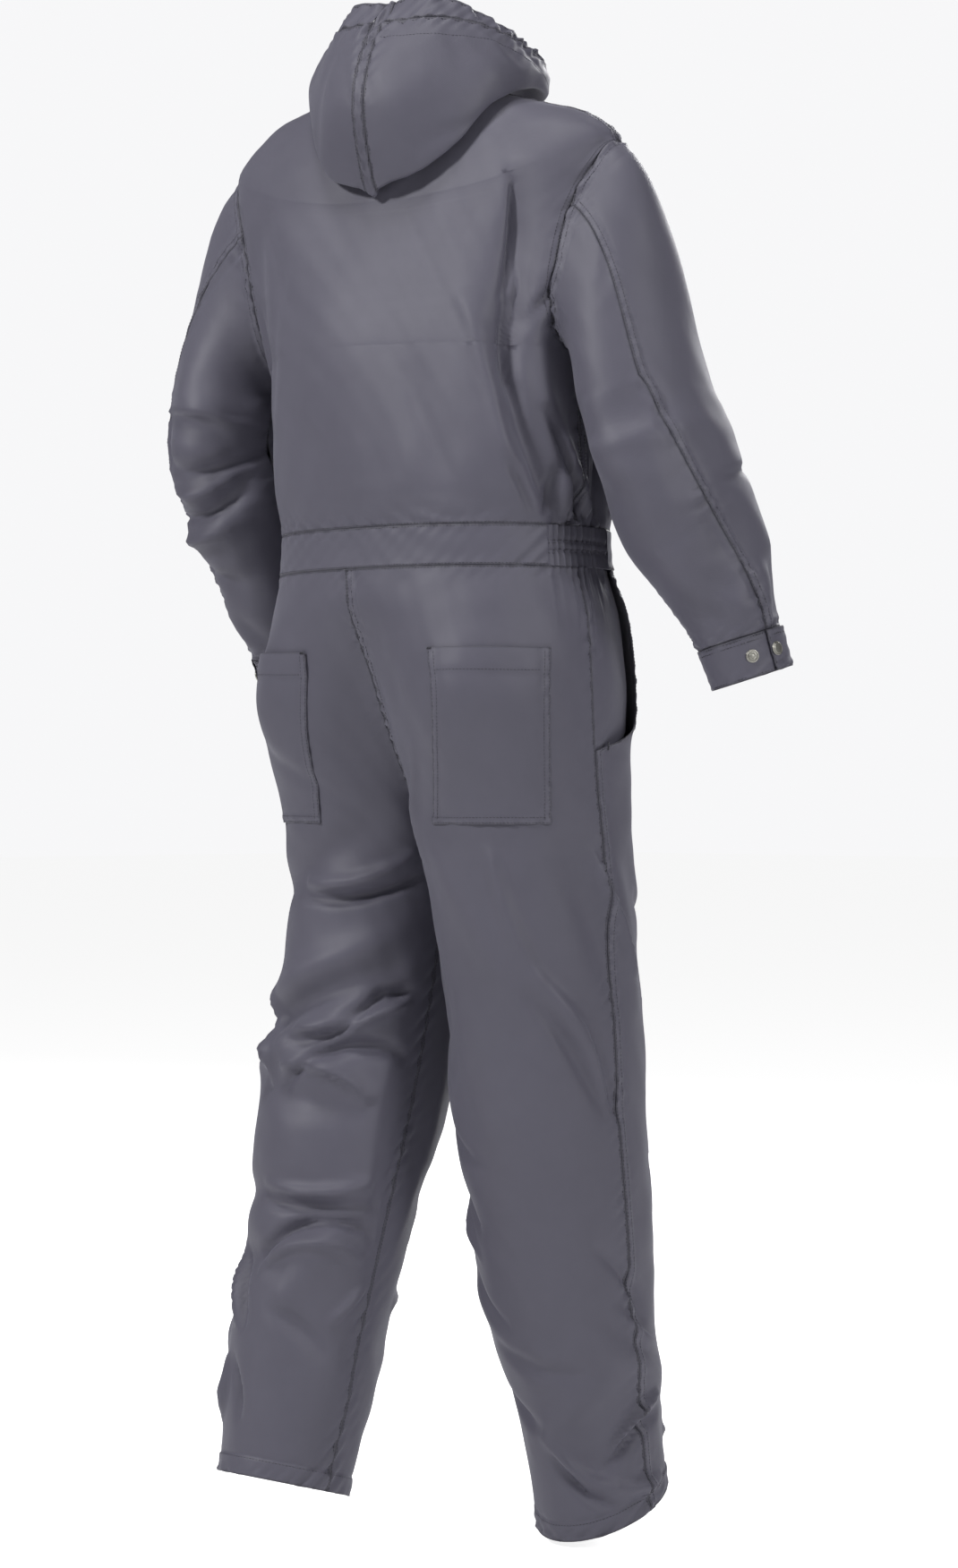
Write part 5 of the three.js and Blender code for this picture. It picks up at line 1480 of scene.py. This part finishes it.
def rod(radius, length, place, sides=20):
    bpy.ops.mesh.primitive_cylinder_add(
        vertices=sides, radius=radius / 1000, depth=length / 1000,
        location=[v / 1000 for v in place], rotation=(0, math.pi / 2, 0))
    bpy.ops.object.transform_apply(location=True, rotation=True, scale=False)
    return bpy.context.object


def lay(name, parts, frame_at, material, body):
    bpy.ops.object.select_all(action="DESELECT")
    for part in parts:
        part.select_set(True)
    bpy.context.view_layer.objects.active = parts[0]
    bpy.ops.object.join()
    made = bpy.context.object
    made.name = f"{name}_metal"
    centre, across, out, up = frame_at
    turn = Matrix([[across[n], out[n], up[n], centre[n] / 1000] for n in range(3)] + [[0, 0, 0, 1]])
    made.data.transform(turn)
    made.data.update()
    made.data.materials.clear()
    made.data.materials.append(material)
    made.data.shade_smooth()
    bpy.ops.object.shade_smooth_by_angle(angle=math.radians(35))
    made.select_set(False)
    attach(made, body)
    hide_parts(name)


def snap_frame(word, back):
    places = np.array([back + 4.0, back - 4.0, back, back])
    spots = cuff_points(word, places, np.array([0.5, 0.5, 0.35, 0.65]))
    middle = cuff_points(word, np.array([float(back)]), np.array([0.5]))[0]
    across = unit(spots[1] - spots[0])
    down = unit(spots[3] - spots[2])
    out = np.cross(across, down)
    centre = arm_frame(word, 1.0)[4]
    if np.dot(out, middle - centre) < 0:
        across = -across
        out = -out
    return middle, across, np.cross(out, across), out


# Places of a snap's cap and stud, in degrees round the cuff from its lap's end
CAP_PLACE = 9
STUD_PLACE = 333


def snaps(word):
    cap = [disc(7.3, 1.2, 0.1, 0.5), disc(5.9, 2.0, 0.4, 0.9), ring(6.5, 0.5, 1.2)]
    lay(f"cuff_snap_cap_{word}", cap, snap_frame(word, CAP_PLACE), SNAP_METAL, "garment")
    stud = [disc(6.9, 0.7, 0.1, 0.25), ring(5.6, 0.75, 0.9), ring(3.1, 0.7, 1.5), disc(2.4, 0.9, 0.2, 0.2)]
    lay(f"cuff_snap_stud_{word}", stud, snap_frame(word, STUD_PLACE), SNAP_METAL, "garment")


BAR_OUT = 5.1
PULL_LENGTH = 27


def zip_frame():
    low, high = bodice(180.0, 2.4), bodice(180.0, 2.6)
    up = unit(high - low)
    across = unit(bodice(184.0, 2.5) - bodice(176.0, 2.5))
    out = np.cross(up, across)
    return (low + high) / 2 + out * 0.45, across, out, up


def slider_and_pull():
    frame_at = zip_frame()
    slider = [
        block((9.4, 2.4, 7.4), (0, 1.2, 2.9), 0.0008), block((7.4, 2.4, 7.0), (0, 1.2, -2.9), 0.0008),
        block((1.1, 4.3, 4.2), (-3.45, 4.35, 0)), block((1.1, 4.3, 4.2), (3.45, 4.35, 0)),
        rod(0.8, 7.0, (0, BAR_OUT, 0)),
    ]
    lay("zip_slider", slider, frame_at, ZIP_METAL, "garment")
    tab = [
        block((4.8, 1.5, 4.0), (0, BAR_OUT, -3.4), 0.0004),
        block((7.0, 1.5, PULL_LENGTH - 6.5), (0, BAR_OUT, -6.2 - (PULL_LENGTH - 6.5) / 2), 0.0006),
        block((4.2, 2.0, PULL_LENGTH - 13), (0, BAR_OUT, -8.4 - (PULL_LENGTH - 11) / 2), 0.0005),
    ]
    for way in (-1.9, 1.9):
        tab.append(block((1.0, 3.6, 1.0), (way, BAR_OUT, -1.7), 0.0002))
        tab.extend(block((1.0, 1.0, 3.6), (way, BAR_OUT + rise, 0), 0.0002) for rise in (1.6, -1.6))
        tab.append(block((1.0, 3.6, 1.0), (way, BAR_OUT, 1.7), 0.0002))
    lay("zip_pull", tab, frame_at, ZIP_METAL, "pull_tab")


# All pieces of the suit
bodice_back()
for side, word in SIDES:
    bodice_front(side, word)
    sleeves(side, word)
    cuff(word)
    hood_sides(side, word)
    rim(side, word)
    band(f"waist_elastic_{word}", side * ELASTIC[0], side * ELASTIC[1], elastic=True)
    band(f"waistband_front_{word}", side * ELASTIC[1], side * FRONT_BAND_END)
    trouser_back(side, word)
    trouser_front(side, word)
    facing(side, word)
    back_pocket(side, word)
    zip_tape(side, word)
    snaps(word)
band("waistband_back", -ELASTIC[0], ELASTIC[0])
hood_strip()
zip_teeth()
slider_and_pull()
upper_sewing.finish("sewing_upper", THREAD)
lower_sewing.finish("sewing_lower", THREAD)


# A plain pale floor, an even sky, soft studio lights and the camera
FLOOR = -HELD_HEIGHT / 1000
LIT_PLACE = (0, 0, -0.6)
LIGHTS = [
    ("key", (0.9, 3.9, 2.1), 0.8, 142),
    ("fill", (-4.4, 0.2, 0.9), 1.5, 80),
    ("top", (-0.4, 0.9, 3.0), 0.9, 50),
    ("front", (1.5, -4.2, 1.6), 2.0, 110),
]
CAMERA_LENS = 84.74
CAMERA_PLACE = (-2.8560, 2.8008, -0.739)
CAMERA_TURN = math.radians(225)


# Strength that is higher for what the camera sees than for what lights the suit
def seen_strength(tree, extra, always):
    seen = tree.nodes.new("ShaderNodeLightPath").outputs["Is Camera Ray"]
    return math_node(tree, "ADD", math_node(tree, "MULTIPLY", seen, extra), always)


def plain_material(name, colour):
    material = bpy.data.materials.new(name)
    material.use_nodes = True
    shader_of(material).inputs["Base Color"].default_value = (*colour, 1)
    shader_of(material).inputs["Roughness"].default_value = 0.95
    shader_of(material).inputs["Emission Color"].default_value = (1, 1, 1, 1)
    tree = material.node_tree
    tree.links.new(seen_strength(tree, 0.72, 0.12), shader_of(material).inputs["Emission Strength"])
    return material


def studio_floor():
    bpy.ops.mesh.primitive_plane_add(size=60, location=(0, 0, FLOOR))
    bpy.ops.object.transform_apply(location=True, rotation=False, scale=False)
    made = bpy.context.object
    made.name = "studio_floor"
    made.data.materials.append(plain_material("pale floor", (0.86, 0.86, 0.86)))
    made.select_set(False)


def soft_light(name, place, size, power):
    light = bpy.data.lights.new(name, "AREA")
    light.shape = "DISK"
    light.size = size
    light.energy = power
    made = bpy.data.objects.new(name, light)
    made.location = place
    made.rotation_euler = (Vector(LIT_PLACE) - Vector(place)).to_track_quat("-Z", "Y").to_euler()
    bpy.context.collection.objects.link(made)


def studio():
    studio_floor()
    world = bpy.data.worlds.new("studio")
    bpy.context.scene.world = world
    world.use_nodes = True
    back = world.node_tree.nodes["Background"]
    back.inputs["Color"].default_value = (0.97, 0.97, 0.98, 1)
    world.node_tree.links.new(seen_strength(world.node_tree, 0.86, 0.10), back.inputs["Strength"])
    for name, place, size, power in LIGHTS:
        soft_light(name, place, size, power)
    bpy.context.scene.view_settings.view_transform = "Standard"


def photo_camera():
    camera = bpy.data.cameras.new("photo camera")
    camera.lens = CAMERA_LENS
    camera.sensor_width = 36
    camera.clip_end = 100
    made = bpy.data.objects.new("photo camera", camera)
    made.location = CAMERA_PLACE
    made.rotation_euler = (math.pi / 2, 0, CAMERA_TURN)
    bpy.context.collection.objects.link(made)
    bpy.context.scene.camera = made


studio()
photo_camera()
